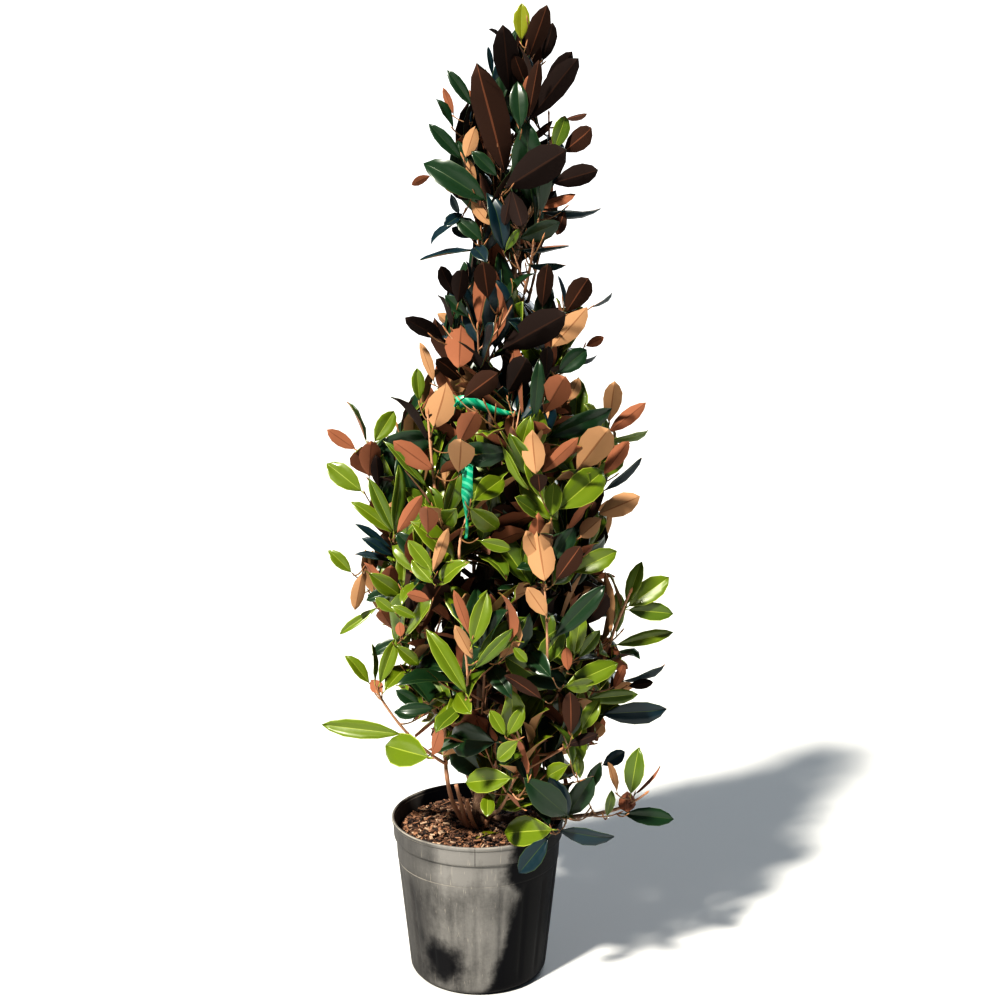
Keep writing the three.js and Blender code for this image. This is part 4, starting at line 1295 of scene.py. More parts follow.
class FoliageSettings(bpy.types.PropertyGroup):
    leaf_length: length_property("Leaf length", "Length of an average blade", 0.122)
    fine_twigs: count_property("Fine twigs", "Fine twigs on each side shoot", 2)
    fine_length: length_property("Fine twig length", "Length of a fine twig", 0.062)
    stem_leaves: count_property("Leaves on a stem", "Leaves tried on each stem", 11)
    shoot_leaves: count_property("Leaves on a shoot", "Leaves tried on each side shoot", 7)
    fine_leaves: count_property("Leaves on a fine twig", "Leaves tried on each fine twig", 4)
    bough_leaves: count_property("Leaves on a bough", "Leaves tried on each bough", 5)
    top_share: FloatProperty(name="Top share", description="Share of the leaves in the thin top", default=0.6)
    tries: count_property("Tries", "Places tried for each leaf", 7)
    green_bright: colour_property("Bright green", "Upper face in the sunny lower crown", (0.120, 0.172, 0.0085))
    green_mid: colour_property("Mid green", "Upper face of most leaves", (0.084, 0.134, 0.011))
    # Partly the darker green of old leaves and partly painted shade: darkened to near black like leaves in shade.
    green_deep: colour_property("Deep green", "Upper face of old leaves", (0.011, 0.037, 0.013))
    # Painted shade with a painted blue sky reflection: a near-black blue green for leaves in the crown's top and dark
    # leaves at its edges.
    green_high: colour_property("High green", "Upper face in the top of the crown", (0.005, 0.023, 0.032))
    lime: colour_property("New green", "Youngest leaves", (0.205, 0.225, 0.010))
    felt_tan: colour_property("Tan felt", "Underside of young leaves", (0.385, 0.222, 0.118))
    felt_rust: colour_property("Rust felt", "Underside of most leaves", (0.275, 0.113, 0.061))
    # Partly the darker felt of old leaves and partly painted shade: darkened to near black like the shaded undersides
    # in the crown's top.
    felt_brown: colour_property("Brown felt", "Underside of old leaves", (0.044, 0.019, 0.011))
    # Painted shade: a near-black underside for leaves in the crown's top and other shaded spots.
    felt_dark: colour_property("Dark felt", "Underside in the top of the crown", (0.018, 0.009, 0.007))
    rib: colour_property("Midrib", "Midrib and margin of bright leaves", (0.27, 0.32, 0.05))
    rib_dark: colour_property("Dark midrib", "Midrib and margin of dark leaves", (0.035, 0.065, 0.020))
    rib_tan: colour_property("Tan rib", "Rib on tan felt", (0.25, 0.125, 0.060))
    rib_rust: colour_property("Rust rib", "Rib on rust and brown felt", (0.17, 0.066, 0.034))
    dry: colour_property("Dry leaf", "Withered leaves low in the crown", (0.20, 0.10, 0.045))


class WoodSettings(bpy.types.PropertyGroup):
    bark_dark: colour_property("Dark bark", "Bark in its darker patches", (0.14, 0.085, 0.055))
    bark_light: colour_property("Light bark", "Bark in its lighter patches", (0.34, 0.215, 0.135))
    crack: colour_property("Cracks", "Fine cracks in the bark", (0.065, 0.038, 0.025))
    pore: colour_property("Pores", "Pale pores of the bark", (0.46, 0.36, 0.27))
    twig_old: colour_property("Old twig", "Stems of the masses", (0.33, 0.185, 0.115))
    twig_young: colour_property("Young twig", "Side shoots", (0.52, 0.29, 0.18))
    twig_new: colour_property("New twig", "Fine twigs", (0.24, 0.13, 0.06))
    bud: colour_property("Bud", "Felted buds", (0.42, 0.21, 0.11))


class PotSettings(bpy.types.PropertyGroup):
    # Partly the plastic's own black and partly painted shade: near zero and bluish, like the pot's shaded side.
    plastic: colour_property("Plastic", "The black plastic", (0.0009, 0.0011, 0.0032))
    dust: colour_property("Dust", "Dry dust on it", (0.218, 0.212, 0.203))
    scuff: colour_property("Scuffs", "Pale scuffs and water marks", (0.40, 0.37, 0.32))
    flute_depth: length_property("Flute depth", "Depth of the flutes in the wall", 0.0028)


class SoilSettings(bpy.types.PropertyGroup):
    chips: count_property("Bark chips", "Chips scattered on the soil", 2600)
    soil_dark: colour_property("Damp soil", "Soil in its damp patches", (0.020, 0.010, 0.006))
    soil_light: colour_property("Dry soil", "Soil in its dry patches", (0.095, 0.052, 0.034))
    chip_orange: colour_property("Orange chip", "Fresh bark chips", (0.30, 0.165, 0.098))
    chip_brown: colour_property("Brown chip", "Old bark chips", (0.125, 0.066, 0.042))
    chip_black: colour_property("Black chip", "Damp bark chips", (0.020, 0.012, 0.010))
    chip_grey: colour_property("Pale chip", "Weathered bark chips", (0.47, 0.34, 0.24))


class TapeSettings(bpy.types.PropertyGroup):
    tape: colour_property("Tape", "Green plastic tape", (0.0, 0.30, 0.17))
    tape_pale: colour_property("Stretched tape", "Stretch marks of the tape", (0.22, 0.62, 0.42))
    width: length_property("Width", "Width of the tape", 0.011)


class StageSettings(bpy.types.PropertyGroup):
    floor: colour_property("Floor", "The pale floor", (0.62, 0.62, 0.61))
    key: FloatProperty(name="Key light", description="Strength of the light from the left", default=5.6)
    fill: FloatProperty(name="Fill light", description="Strength of the soft light from behind", default=1.35)
    sky: FloatProperty(name="Sky", description="Strength of the light from all round", default=0.15)
    backdrop: FloatProperty(name="Backdrop", description="How bright the empty studio looks", default=1.0)


# ---------------------------------------------------------------- the operators


def plant():
    """The limbs, the twigs and the leaves, grown once for all the pieces."""
    if not hasattr(plant, "grown"):
        settings = bpy.context.scene.magnolia_foliage
        limbs = bough_limbs()
        room = Room(limbs)
        twigs = grow_twigs(limbs, room, settings)
        leaves = Leaves(room, settings)
        for start, end, width in SHOWN_STRETCHES:
            room.show(Vector(start), Vector(end), width)
        wood = Wood(limbs, twigs)
        for line, _, _ in BASAL_SHOOTS:
            wood.add("low", Curve(*line), 12)
        twigs += grow_shown_shoots(wood, room)
        twigs += grow_marked(leaves, wood, room)
        counts = (settings.stem_leaves, settings.shoot_leaves, settings.fine_leaves, settings.bough_leaves, 2, 4)
        bare = [Twig(limb.tier, limb.curve, BOUGH_RADIUS, BOUGH_TIP, 3) for limb in limbs]
        for index, twig in enumerate([*twigs, *bare]):
            draw = Draws(SEED + 1000 + index)
            thinned = settings.top_share if twig.tier in ("high", "top", "crest") else 1
            leaves.grow(twig, round(counts[twig.level] * thinned), draw, spray_tint(twig, draw))
        plant.grown = (limbs, twigs, leaves)
    return plant.grown


# A tint is a name for the upper face and one for the underside.
LOW_TINTS = [
    ("green_bright", "felt_tan"),
    ("green_bright", "felt_rust"),
    ("green_mid", "felt_rust"),
    ("green_mid", "felt_tan"),
    ("green_deep", "felt_brown"),
    ("green_deep", "felt_rust"),
]
# Painted shade: sprays in the top of the crown take these darker tints.
TOP_TINTS_IN_PAINTED_SHADE = [
    ("green_high", "felt_dark"),
    ("green_high", "felt_brown"),
    ("green_deep", "felt_dark"),
    ("green_deep", "felt_brown"),
    ("green_high", "felt_rust"),
]


def spray_tint(twig, draw):
    """The tint that most of a spray's leaves take."""
    height = twig.curve.point(1).z + draw.between(-0.18, 0.18)
    # Sprays above about 1.5 m take the darker tints, as painted shade for the crown's top.
    tints = TOP_TINTS_IN_PAINTED_SHADE if height > 1.5 else LOW_TINTS
    main = tints[int(draw() * len(tints))]

    def tint_of(root, draw):
        if root.z > 2.21 and draw() < 0.15:
            return ("lime", "lime")
        if root.z < 0.8 and draw() < 0.025:
            return ("dry", "dry")
        return main if draw() < 0.75 else tints[int(draw() * len(tints))]

    return tint_of


class MAGNOLIA_OT_wood(bpy.types.Operator):
    """Trunk and boughs with the relief of their bark"""

    bl_idname = "magnolia.wood"
    bl_label = "Trunk and boughs"

    def execute(self, context):
        bark = bark_finish(context.scene.magnolia_wood)
        limbs, _, _ = plant()
        bm = bmesh.new()
        verts = add_limb(bm, TRUNK_CURVE, trunk_radius, 230, 22)
        self.rough_up(bm, verts, [limb.curve.point(0) for limb in limbs])
        settle(piece_from("trunk_bark", bm, [bark]), "bark", "trunk")
        for tier in TIERS:
            bm = bmesh.new()
            names = []
            for limb in limbs:
                if limb.tier != tier.name:
                    continue
                rings = round(limb.curve.length() / 0.006)
                collar = lambda t: BOUGH_RADIUS * 0.45 * math.exp(-t * 9)
                radius = lambda t: lerp(BOUGH_RADIUS, BOUGH_TIP, t) + collar(t)
                self.rough_up(bm, add_limb(bm, limb.curve, radius, rings, 12), [])
                names.append(f"bough_{limb.name}")
            settle(piece_from(f"boughs_{tier.name}", bm, [bark]), "bark", *names)
        return {"FINISHED"}

    def rough_up(self, bm, verts, knots):
        """Moves the bark in and out: long ridges, small lumps, and a swelling where a bough springs."""
        bm.normal_update()
        for vert in verts:
            p = vert.co
            ridges = noise.noise(Vector((p.x * 220, p.y * 220, p.z * 26)))
            lumps = noise.noise(p * 60)
            swell = sum(0.0035 * math.exp(-(((p - knot).length / 0.016) ** 2)) for knot in knots)
            vert.co = p + vert.normal * (ridges * 0.0009 + lumps * 0.0007 + swell)


# Thin stems from the trunk's foot: the points of each line, and the radius at its foot and its end.
BASAL_SHOOTS = [
    (
        [(-0.008, -0.012, 0.360), (-0.052, -0.034, 0.400), (-0.088, -0.040, 0.450), (-0.080, -0.038, 0.660)],
        0.0075,
        0.004,
    ),
    (
        [(-0.012, -0.020, 0.362), (-0.040, -0.052, 0.400), (-0.034, -0.050, 0.430), (-0.054, -0.046, 0.492)],
        0.0060,
        0.005,
    ),
    (
        [(0.000, -0.022, 0.362), (-0.014, -0.058, 0.395), (-0.020, -0.060, 0.420), (-0.028, -0.056, 0.458)],
        0.0060,
        0.005,
    ),
    (
        [(0.014, -0.012, 0.362), (0.040, -0.030, 0.420), (0.050, -0.030, 0.520), (0.046, -0.020, 0.640)],
        0.0065,
        0.004,
    ),
]


class MAGNOLIA_OT_basal(bpy.types.Operator):
    """Thin tan stems that spring from the trunk's foot, two of them cut short"""

    bl_idname = "magnolia.basal"
    bl_label = "Basal stems"

    def execute(self, context):
        settings = context.scene.magnolia_wood
        bm = bmesh.new()
        for line, foot, end in BASAL_SHOOTS:
            curve = Curve(*line)
            radius = lambda t: lerp(foot, end, t) * (1 + 0.07 * math.sin(t * 47))
            add_limb(bm, curve, radius, round(curve.length() / 0.005), 12)
        settle(piece_from("basal_stems", bm, [young_bark_finish(settings)]), "bark")
        return {"FINISHED"}


# Stretches of tape and leader that the front shows: from, to and how wide a view to them stays open.
SHOWN_STRETCHES = [
    ((-0.042, -0.140, 1.440), (0.117, -0.140, 1.424), 0.034),
    ((-0.018, -0.310, 1.320), (-0.016, -0.310, 1.155), 0.040),
    ((0.106, 0, 2.02), (0.094, 0, 1.70), 0.022),
]


class MAGNOLIA_OT_ties(bpy.types.Operator):
    """Green plastic tape: a tie round the stems with its two knots, and a loose end hanging down"""

    bl_idname = "magnolia.ties"
    bl_label = "Tie tapes"

    def execute(self, context):
        settings = context.scene.magnolia_tape
        bm = bmesh.new()
        left, right = Vector((-0.042, -0.140, 1.440)), Vector((0.117, -0.140, 1.424))
        front = Curve(left, (-0.010, -0.150, 1.458), (0.035, -0.155, 1.415), (0.080, -0.150, 1.408), right)
        back = Curve(right, (0.150, -0.02, 1.435), (0.110, 0.060, 1.440), (0.0, 0.060, 1.445), (-0.070, -0.03, 1.440), left)
        wide = settings.width * 2.6
        self.ribbon(
            bm,
            self.along(front, 48),
            lambda t: lerp(wide, 0.006, min(max(t * 1.5 - 0.3, 0), 1)),
            lambda t: 1.57 + 0.3 * math.sin(t * 5),
        )
        self.ribbon(bm, self.along(back, 48), lambda t: 0.007, lambda t: 1.57 + 0.8 * math.sin(t * 9))
        for middle in (left, right):
            self.knot(bm, middle)
        top = Vector((-0.017, -0.310, 1.322))
        loose = Curve(top, (-0.012, -0.322, 1.290), (-0.022, -0.318, 1.245), (-0.012, -0.312, 1.200), (-0.020, -0.310, 1.155))
        self.ribbon(
            bm,
            self.along(loose, 40),
            lambda t: lerp(0.026, 0.007, min(max(t * 3 - 1.3, 0), 1)),
            lambda t: 1.57 + 0.5 * math.sin(t * 7),
        )
        self.knot(bm, top)
        bmesh.ops.solidify(bm, geom=bm.faces[:], thickness=0.0004)
        bmesh.ops.recalc_face_normals(bm, faces=bm.faces)
        settle(piece_from("tie_tapes", bm, [tape_finish(settings)]), "bark")
        return {"FINISHED"}

    def along(self, curve, steps):
        return [curve.point(i / steps) for i in range(steps + 1)]

    def knot(self, bm, middle):
        """Two tight turns of tape and a short end."""
        turns = [
            middle + Vector((0.0045 * math.cos(a), 0.004 * math.sin(a), 0.0012 * math.sin(a * 0.5)))
            for a in (i * 0.42 for i in range(30))
        ]
        self.ribbon(bm, turns, lambda t: 0.009, lambda t: 1.57 + 0.4 * math.sin(t * 14))
        bend, tail = Vector((-0.004, -0.008, 0.004)), Vector((-0.010, -0.010, -0.022))
        end = Curve(middle, middle + bend, middle + tail)
        self.ribbon(bm, self.along(end, 10), lambda t: 0.008, lambda t: 0.6 + 1.5 * t)

    def ribbon(self, bm, line, width_at, turn_at):
        """Extrudes a short edge along a line, turning it about the line on its way."""
        made = [bm.verts.new((0, 0, 0)), bm.verts.new((0, 0, 0))]
        edge = bm.edges.new(made)
        rungs = [made]
        for _ in line[1:]:
            grown = bmesh.ops.extrude_edge_only(bm, edges=[edge])["geom"]
            rungs.append([g for g in grown if isinstance(g, bmesh.types.BMVert)])
            last = set(rungs[-1])
            edge = next(g for g in grown if isinstance(g, bmesh.types.BMEdge) and set(g.verts) == last)
        for i, rung in enumerate(rungs):
            t = i / (len(line) - 1)
            axis = (line[min(i + 1, len(line) - 1)] - line[max(i - 1, 0)]).normalized()
            side = side_of(axis, turn_at(t)) * (width_at(t) / 2)
            rung[0].co, rung[1].co = line[i] - side, line[i] + side


class MAGNOLIA_OT_twigs(bpy.types.Operator):
    """Stems, side shoots, fine twigs and their buds"""

    bl_idname = "magnolia.twigs"
    bl_label = "Twigs and buds"

    def execute(self, context):
        settings = context.scene.magnolia_wood
        finishes = [
            twig_finish("twig_old", settings.twig_old),
            twig_finish("twig_young", settings.twig_young),
            twig_finish("twig_new", settings.twig_new),
            felt_finish("bud_felt", settings.bud),
        ]
        _, twigs, _ = plant()
        for tier in TIERS:
            points, faces, kinds = [], [], []
            for twig in twigs:
                if twig.tier == tier.name:
                    self.add_twig(twig, points, faces, kinds)
            piece = joined_mesh(f"twigs_{tier.name}", points, faces, kinds, finishes)
            settle(piece, "bark", *foliage_nodes(tier.name))
        return {"FINISHED"}

    def add_twig(self, twig, points, faces, kinds):
        """A six-sided tapering twig that ends in a pointed bud."""
        steps, finish = ((14, 0), (7, 1), (4, 2), (0, 0), (5, 2), (10, 1))[twig.level]
        sides = 6
        rings = [
            (i / steps, lerp(twig.radius, twig.tip, i / steps) * (1.12 if i % 2 else 0.96), 0.0)
            for i in range(steps + 1)
        ]
        rings += [(1, twig.tip * 1.35, 0.004), (1, twig.tip * 1.15, 0.009), (1, twig.tip * 0.3, 0.015)]
        first = len(points)
        for t, radius, beyond in rings:
            axis = twig.curve.tangent(t)
            middle = twig.curve.point(t) + axis * (beyond - (0.003 if t == 0 else 0))
            for k in range(sides):
                points.append((middle + side_of(axis, k * 2 * math.pi / sides) * radius)[:])
        for r in range(len(rings) - 1):
            for k in range(sides):
                a, b = first + r * sides + k, first + r * sides + (k + 1) % sides
                faces.append((a, b, b + sides, a + sides))
                kinds.append(3 if r >= steps else finish)
        last = first + (len(rings) - 1) * sides
        faces.append(tuple(range(last, last + sides)))
        faces.append(tuple(reversed(range(first, first + sides))))
        kinds += [3, finish]


def foliage_nodes(tier):
    leader = "foliage_leader" if tier == "crest" else None
    return [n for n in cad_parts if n.startswith(f"foliage_{tier}_") or n == leader]


class MAGNOLIA_OT_leaves(bpy.types.Operator):
    """Leaves of the whole crown, joined tier by tier"""

    bl_idname = "magnolia.leaves"
    bl_label = "Leaves"

    def execute(self, context):
        settings = context.scene.magnolia_foliage
        _, _, crown = plant()
        finishes, places = self.finishes(settings)
        faces, kinds, margin = leaf_faces()
        templates = [leaf_points(shape) for shape in crown.shapes]
        for tier in TIERS:
            leaves = [leaf for leaf in crown.leaves if leaf.tier == tier.name]
            piece = self.join(f"leaves_{tier.name}", leaves, templates, faces, kinds, finishes, places)
            mark_sharp(piece.data, margin, len(templates[0]))
            settle(piece, "foliage", *foliage_nodes(tier.name))
        return {"FINISHED"}

    def finishes(self, settings):
        """The finishes, and for each tint of the upper face or underside its place in the list."""
        finishes, places = [], {}
        glosses = {"green_bright": 0.3, "green_mid": 0.3, "green_deep": 0.10, "green_high": 0.10, "lime": 0.2}
        for name, gloss in glosses.items():
            places[name] = len(finishes)
            finishes.append(leaf_finish(name, getattr(settings, name), 0.34, 0.16, gloss))
        for name in ("felt_tan", "felt_rust", "felt_brown", "felt_dark", "dry", "rib_tan", "rib_rust"):
            places[name] = len(finishes)
            finishes.append(felt_finish(name, getattr(settings, name)))
        for name in ("rib", "rib_dark"):
            places[name] = len(finishes)
            finishes.append(leaf_finish(name, getattr(settings, name), 0.42, 0.1, 0.1))
        return finishes, places

    def join(self, name, leaves, templates, faces, kinds, finishes, places):
        points = [
            np.array(leaf.root[:]) + templates[leaf.shape] @ (np.array([leaf.w[:], leaf.u[:], leaf.v[:]]) * leaf.size)
            for leaf in leaves
        ]
        count = len(templates[0])
        all_faces = [tuple(v + i * count for v in face) for i in range(len(leaves)) for face in faces]
        slots = []
        for leaf in leaves:
            upper, under = leaf.tint
            rib = RIBS[upper]
            by_kind = {BLADE: upper, RIB: rib, UNDER: under, UNDER_RIB: RIBS[under], STALK: rib}
            slots += [places[by_kind[kind]] for kind in kinds]
        return joined_mesh(name, np.concatenate(points), all_faces, slots, finishes)


# The midrib's colour for each colour of a face.
RIBS = {
    "green_bright": "rib",
    "green_mid": "rib",
    "lime": "rib",
    "green_deep": "rib_dark",
    "green_high": "rib_dark",
    "felt_tan": "rib_tan",
    "felt_rust": "rib_rust",
    "felt_brown": "rib_rust",
    "felt_dark": "felt_brown",
    "dry": "dry",
}


def mark_sharp(mesh, pairs, count):
    """Keeps the shading of the two faces of every leaf apart along its margin."""
    table = np.zeros((count, count), bool)
    for a, b in pairs:
        table[a, b] = table[b, a] = True
    ends = np.zeros(len(mesh.edges) * 2, np.int32)
    mesh.edges.foreach_get("vertices", ends)
    ends = ends.reshape(-1, 2) % count
    mesh.edges.foreach_set("use_edge_sharp", table[ends[:, 0], ends[:, 1]])


class MAGNOLIA_OT_pot(bpy.types.Operator):
    """The nursery pot, with its rolled edge, collar, band, flutes and drain holes"""

    bl_idname = "magnolia.pot"
    bl_label = "Pot"

    STEPS = 240

    def execute(self, context):
        settings = context.scene.magnolia_pot
        bm = bmesh.new()
        outline = [bm.verts.new((radius, 0, height)) for radius, height in self.outline()]
        edges = [bm.edges.new(pair) for pair in zip(outline, outline[1:])]
        turn = {"cent": (0, 0, 0), "axis": (0, 0, 1), "angle": 2 * math.pi, "steps": self.STEPS}
        bmesh.ops.spin(bm, geom=outline + edges, use_merge=True, **turn)
        bmesh.ops.remove_doubles(bm, verts=bm.verts, dist=1e-6)
        self.press_flutes(bm, settings.flute_depth)
        bmesh.ops.recalc_face_normals(bm, faces=bm.faces)
        pot = piece_from("pot_shell", bm, [pot_finish(settings)])
        self.drill(pot)
        settle(pot, "pot", "pot")
        return {"FINISHED"}

    def outline(self):
        """Radius and height down the outside, under the foot and up the inside to the rim."""
        outside = [
            (0.2120, 0.4000), (0.2145, 0.3997), (0.2158, 0.3982), (0.2160, 0.3955), (0.2158, 0.3925),
            (0.2150, 0.3905), (0.2132, 0.3897), (0.2128, 0.3880), (0.2124, 0.3800), (0.2118, 0.3680),
            (0.2112, 0.3560), (0.2104, 0.3522), (0.2090, 0.3509), (0.2058, 0.3505), (0.2050, 0.3490),
            (0.2044, 0.3350), (0.2034, 0.3150), (0.2024, 0.2990), (0.2018, 0.2955), (0.2010, 0.2938),
        ]
        wall = [(lerp(0.2010, 0.1720, i / 24), lerp(0.2925, 0.0230, i / 24)) for i in range(25)]
        foot = [(0.172 - 0.0225 * (1 - math.cos(a)), 0.022 - 0.0216 * math.sin(a)) for a in (0.3, 0.6, 0.9, 1.2, 1.45)]
        under = [(0.1480, 0.0), (0.1200, 0.0), (0.0800, 0.0), (0.0400, 0.0), (0.0, 0.0)]
        inside = [(0.0, 0.0042), (0.1500, 0.0042), (0.1680, 0.0240), (0.1980, 0.2940)]
        inside += [(0.2018, 0.3500), (0.2098, 0.3960), (0.2106, 0.3992)]
        return outside + wall + foot + under + inside + [(0.2120, 0.4000)]

    def press_flutes(self, bm, depth):
        """Sets twenty shallow grooves into the wall between the band and the rounded foot."""
        for vert in bm.verts:
            p = vert.co
            reach = math.hypot(p.x, p.y)
            if reach < lerp(0.1700, 0.1995, (p.z - 0.022) / 0.271) or not 0.022 < p.z < 0.293:
                continue
            turn = (math.atan2(p.y, p.x) / (2 * math.pi) * 20 + 0.5) % 1 - 0.5
            ends = min(1, (p.z - 0.022) / 0.03, (0.293 - p.z) / 0.02)
            pressed = depth * math.exp(-((turn / 0.11) ** 2)) * max(ends, 0)
            vert.co = Vector((p.x, p.y, 0)) * (1 - pressed / reach) + Vector((0, 0, p.z))

    def drill(self, pot):
        """Cuts six drain holes through the floor."""
        bm = bmesh.new()
        for i in range(6):
            place = Matrix.Translation(bearing(60 * i) * 0.1)
            bmesh.ops.create_cone(bm, cap_ends=True, segments=24, radius1=0.012, radius2=0.012, depth=0.02, matrix=place)
        cutter = piece_from("drill", bm, [])
        hole = pot.modifiers.new("holes", "BOOLEAN")
        hole.operation = "DIFFERENCE"
        hole.object = cutter
        hole.solver = "EXACT"
        depsgraph = bpy.context.evaluated_depsgraph_get()
        drilled = bpy.data.meshes.new_from_object(pot.evaluated_get(depsgraph))
        pot.modifiers.clear()
        pot.data = drilled
        bpy.data.objects.remove(cutter)


class MAGNOLIA_OT_soil(bpy.types.Operator):
    """The potting mix, with scattered bark chips"""

    bl_idname = "magnolia.soil"
    bl_label = "Soil and chips"

    def execute(self, context):
        settings = context.scene.magnolia_soil
        self.bed(settings)
        self.chips(settings)
        return {"FINISHED"}

    def height(self, x, y):
        """The soil's surface: a low mound under the trunk, uneven all over."""
        reach = math.hypot(x, y)
        mound = min(max((0.150 - reach) / 0.080, 0), 1)
        uneven = noise.noise(Vector((x * 28, y * 28, 1.7))) * 0.0030 + noise.noise(Vector((x * 90, y * 90, 4.1))) * 0.0016
        return SOIL_TOP + (MOUND_TOP - SOIL_TOP) * mound * mound * (3 - 2 * mound) - 0.003 + uneven

    def bed(self, settings):
        bm = bmesh.new()
        bmesh.ops.create_circle(bm, cap_ends=True, radius=0.1985, segments=96)
        for _ in range(34):
            bmesh.ops.inset_region(bm, faces=[max(bm.faces, key=lambda f: len(f.verts))], thickness=0.0056)
        for vert in bm.verts:
            vert.co.z = self.height(vert.co.x, vert.co.y)
        rim = [e for e in bm.edges if len(e.link_faces) == 1]
        lowered = bmesh.ops.extrude_edge_only(bm, edges=rim)["geom"]
        foot = [g for g in lowered if isinstance(g, bmesh.types.BMVert)]
        for vert in foot:
            vert.co = Vector((vert.co.x * 0.74, vert.co.y * 0.74, 0.0048))
        open_edges = [g for g in lowered if isinstance(g, bmesh.types.BMEdge) and len(g.link_faces) == 1]
        bmesh.ops.holes_fill(bm, edges=open_edges, sides=0)
        bmesh.ops.recalc_face_normals(bm, faces=bm.faces)
        settle(piece_from("potting_mix", bm, [soil_finish(settings)]), "soil", "soil")

    def chips(self, settings):
        """Flat splinters of bark, each a small lopsided box, tilted."""
        draw = Draws(SEED + 50)
        names = ("chip_orange", "chip_brown", "chip_black", "chip_grey")
        finishes = [chip_finish(name, getattr(settings, name)) for name in names]
        box = [(x, y, z) for z in (-0.5, 0.5) for x, y in ((-0.5, -0.35), (0.5, -0.5), (0.5, 0.35), (-0.5, 0.5))]
        sides = [(3, 2, 1, 0), (4, 5, 6, 7), (0, 1, 5, 4), (1, 2, 6, 5), (2, 3, 7, 6), (3, 0, 4, 7)]
        points, faces, kinds = [], [], []
        for i in range(settings.chips):
            turn, reach = draw() * 2 * math.pi, 0.194 * math.sqrt(draw())
            x, y = reach * math.cos(turn), reach * math.sin(turn)
            if math.hypot(x - 0.005, y) < 0.022:
                continue
            size = draw.between(0.002, 0.011)
            slender = draw() < 0.12
            lift = self.height(x, y) + draw.between(-0.0005, 0.0025)
            place = Matrix.Translation((x, y, lift)) @ Matrix.Rotation(draw() * 6.3, 4, "Z")
            tilt = Matrix.Rotation(draw.between(-0.5, 0.5), 4, "X")
            roll = Matrix.Rotation(draw.between(-0.4, 0.4), 4, "Y")
            place @= tilt @ roll
            length, width = size * draw.between(1, 2.2), size * draw.between(0.4, 1)
            if slender:
                length, width = draw.between(0.018, 0.034), 0.0022
            shape = Matrix.Diagonal((length, width, width * 0.4, 1))
            points += [(place @ shape @ Vector(corner))[:] for corner in box]
            faces += [tuple(v + 8 * (len(points) // 8 - 1) for v in side) for side in sides]
            kinds += [int(np.searchsorted((0.28, 0.60, 0.90), draw()))] * 6
        settle(joined_mesh("bark_chips", points, faces, kinds, finishes, smooth=False), "soil")


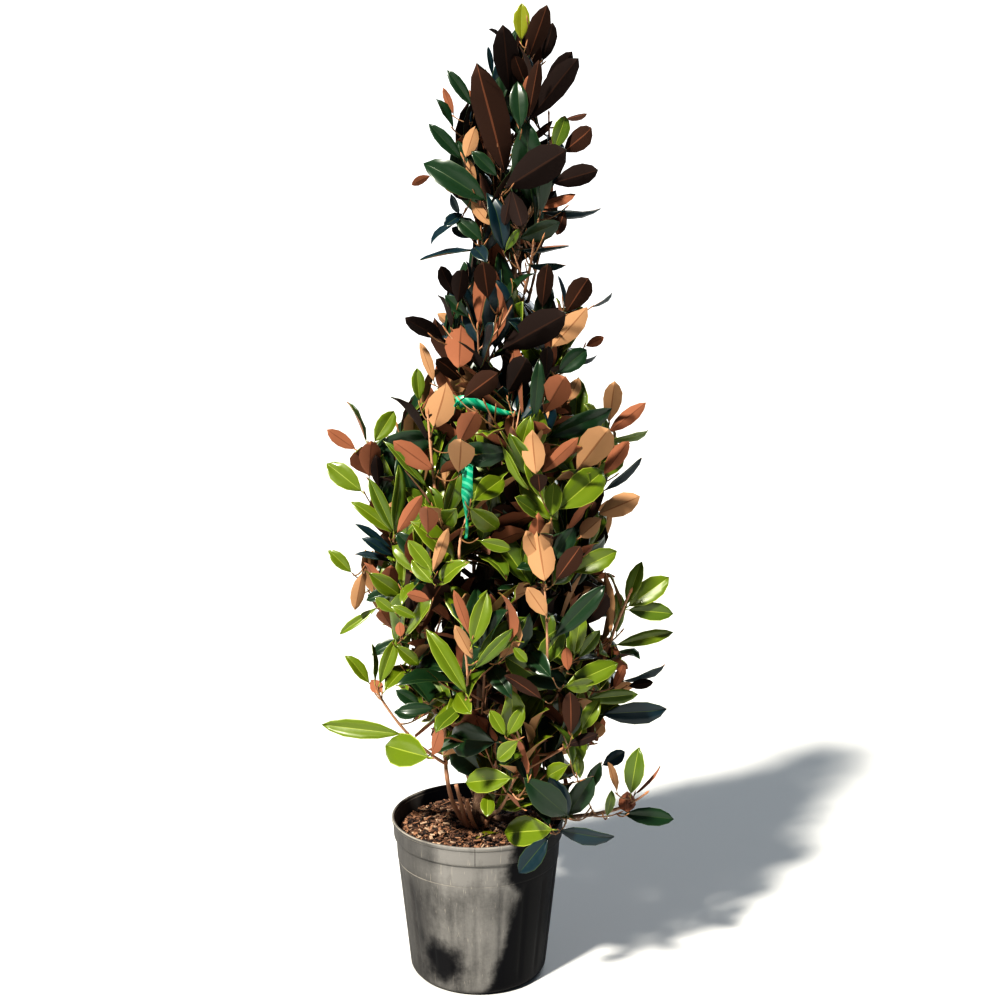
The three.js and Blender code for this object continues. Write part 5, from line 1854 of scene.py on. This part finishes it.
class MAGNOLIA_OT_stage(bpy.types.Operator):
    """Pale floor, soft light and the camera"""

    bl_idname = "magnolia.stage"
    bl_label = "Floor, light and camera"

    def execute(self, context):
        settings = context.scene.magnolia_stage
        self.floor(settings)
        self.lights(settings)
        self.camera()
        context.scene.view_settings.view_transform = "Standard"
        context.scene.view_settings.look = "High Contrast"
        return {"FINISHED"}

    def floor(self, settings):
        bm = bmesh.new()
        bmesh.ops.create_grid(bm, x_segments=1, y_segments=1, size=30)
        plain = Finish("floor")
        piece_from("floor", bm, [plain.done(Base_Color=settings.floor, Roughness=0.9)])

    def lights(self, settings):
        self.sun("key", (-38, 47), settings.key, 5, (1.0, 0.95, 0.86))
        self.sun("fill", (155, 38), settings.fill, 40, (0.92, 0.96, 1.0))
        world = bpy.data.worlds.new("studio")
        world.use_nodes = True
        bpy.context.scene.world = world
        nodes, links = world.node_tree.nodes, world.node_tree.links
        background = nodes["Background"]
        background.inputs["Color"].default_value = (0.72, 0.86, 1.0, 1)
        background.inputs["Strength"].default_value = settings.sky
        seen = nodes.new("ShaderNodeBackground")
        seen.inputs["Color"].default_value = (1, 1, 1, 1)
        seen.inputs["Strength"].default_value = settings.backdrop
        mix = nodes.new("ShaderNodeMixShader")
        links.new(nodes.new("ShaderNodeLightPath").outputs["Is Camera Ray"], mix.inputs["Fac"])
        links.new(background.outputs["Background"], mix.inputs[1])
        links.new(seen.outputs["Background"], mix.inputs[2])
        links.new(mix.outputs["Shader"], nodes["World Output"].inputs["Surface"])

    def sun(self, name, place, strength, softness, tint):
        """A light from far off. Its place is an azimuth right of the camera and an elevation."""
        a, e = math.radians(place[0]), math.radians(place[1])
        back = Vector((math.sin(a) * math.cos(e), -math.cos(a) * math.cos(e), math.sin(e)))
        light = bpy.data.lights.new(name, "SUN")
        light.angle = math.radians(softness)
        light.energy = strength
        light.color = tint
        lamp = bpy.data.objects.new(name, light)
        lamp.rotation_euler = (-back).to_track_quat("-Z", "Y").to_euler()
        bpy.context.scene.collection.objects.link(lamp)

    def camera(self):
        data = bpy.data.cameras.new("camera")
        data.lens = LENS
        data.sensor_width = 36
        data.clip_end = 200
        camera = bpy.data.objects.new("camera", data)
        camera.location = EYE
        camera.rotation_euler = (math.radians(90 - TILT_DEGREES), 0, 0)
        bpy.context.scene.collection.objects.link(camera)
        bpy.context.scene.camera = camera


class MAGNOLIA_PT_panel(bpy.types.Panel):
    """The pieces of the magnolia, in the order in which they are made"""

    bl_label = "Magnolia"
    bl_space_type = "VIEW_3D"
    bl_region_type = "UI"
    bl_category = "Magnolia"

    def draw(self, context):
        for operator in OPERATORS:
            self.layout.operator(operator.bl_idname)


SETTINGS = {
    "magnolia_foliage": FoliageSettings,
    "magnolia_wood": WoodSettings,
    "magnolia_pot": PotSettings,
    "magnolia_soil": SoilSettings,
    "magnolia_tape": TapeSettings,
    "magnolia_stage": StageSettings,
}
OPERATORS = [
    MAGNOLIA_OT_pot,
    MAGNOLIA_OT_soil,
    MAGNOLIA_OT_wood,
    MAGNOLIA_OT_basal,
    MAGNOLIA_OT_ties,
    MAGNOLIA_OT_twigs,
    MAGNOLIA_OT_leaves,
    MAGNOLIA_OT_stage,
]


def register():
    for group in [*SETTINGS.values(), *OPERATORS, MAGNOLIA_PT_panel]:
        bpy.utils.register_class(group)
    for name, group in SETTINGS.items():
        setattr(bpy.types.Scene, name, PointerProperty(type=group))


def unregister():
    for name in SETTINGS:
        delattr(bpy.types.Scene, name)
    for group in reversed([*SETTINGS.values(), *OPERATORS, MAGNOLIA_PT_panel]):
        bpy.utils.unregister_class(group)


def main():
    register()
    bpy.ops.magnolia.pot()
    bpy.ops.magnolia.soil()
    bpy.ops.magnolia.wood()
    bpy.ops.magnolia.basal()
    bpy.ops.magnolia.ties()
    bpy.ops.magnolia.twigs()
    bpy.ops.magnolia.leaves()
    bpy.ops.magnolia.stage()
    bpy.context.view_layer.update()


if __name__ == "__main__":
    main()
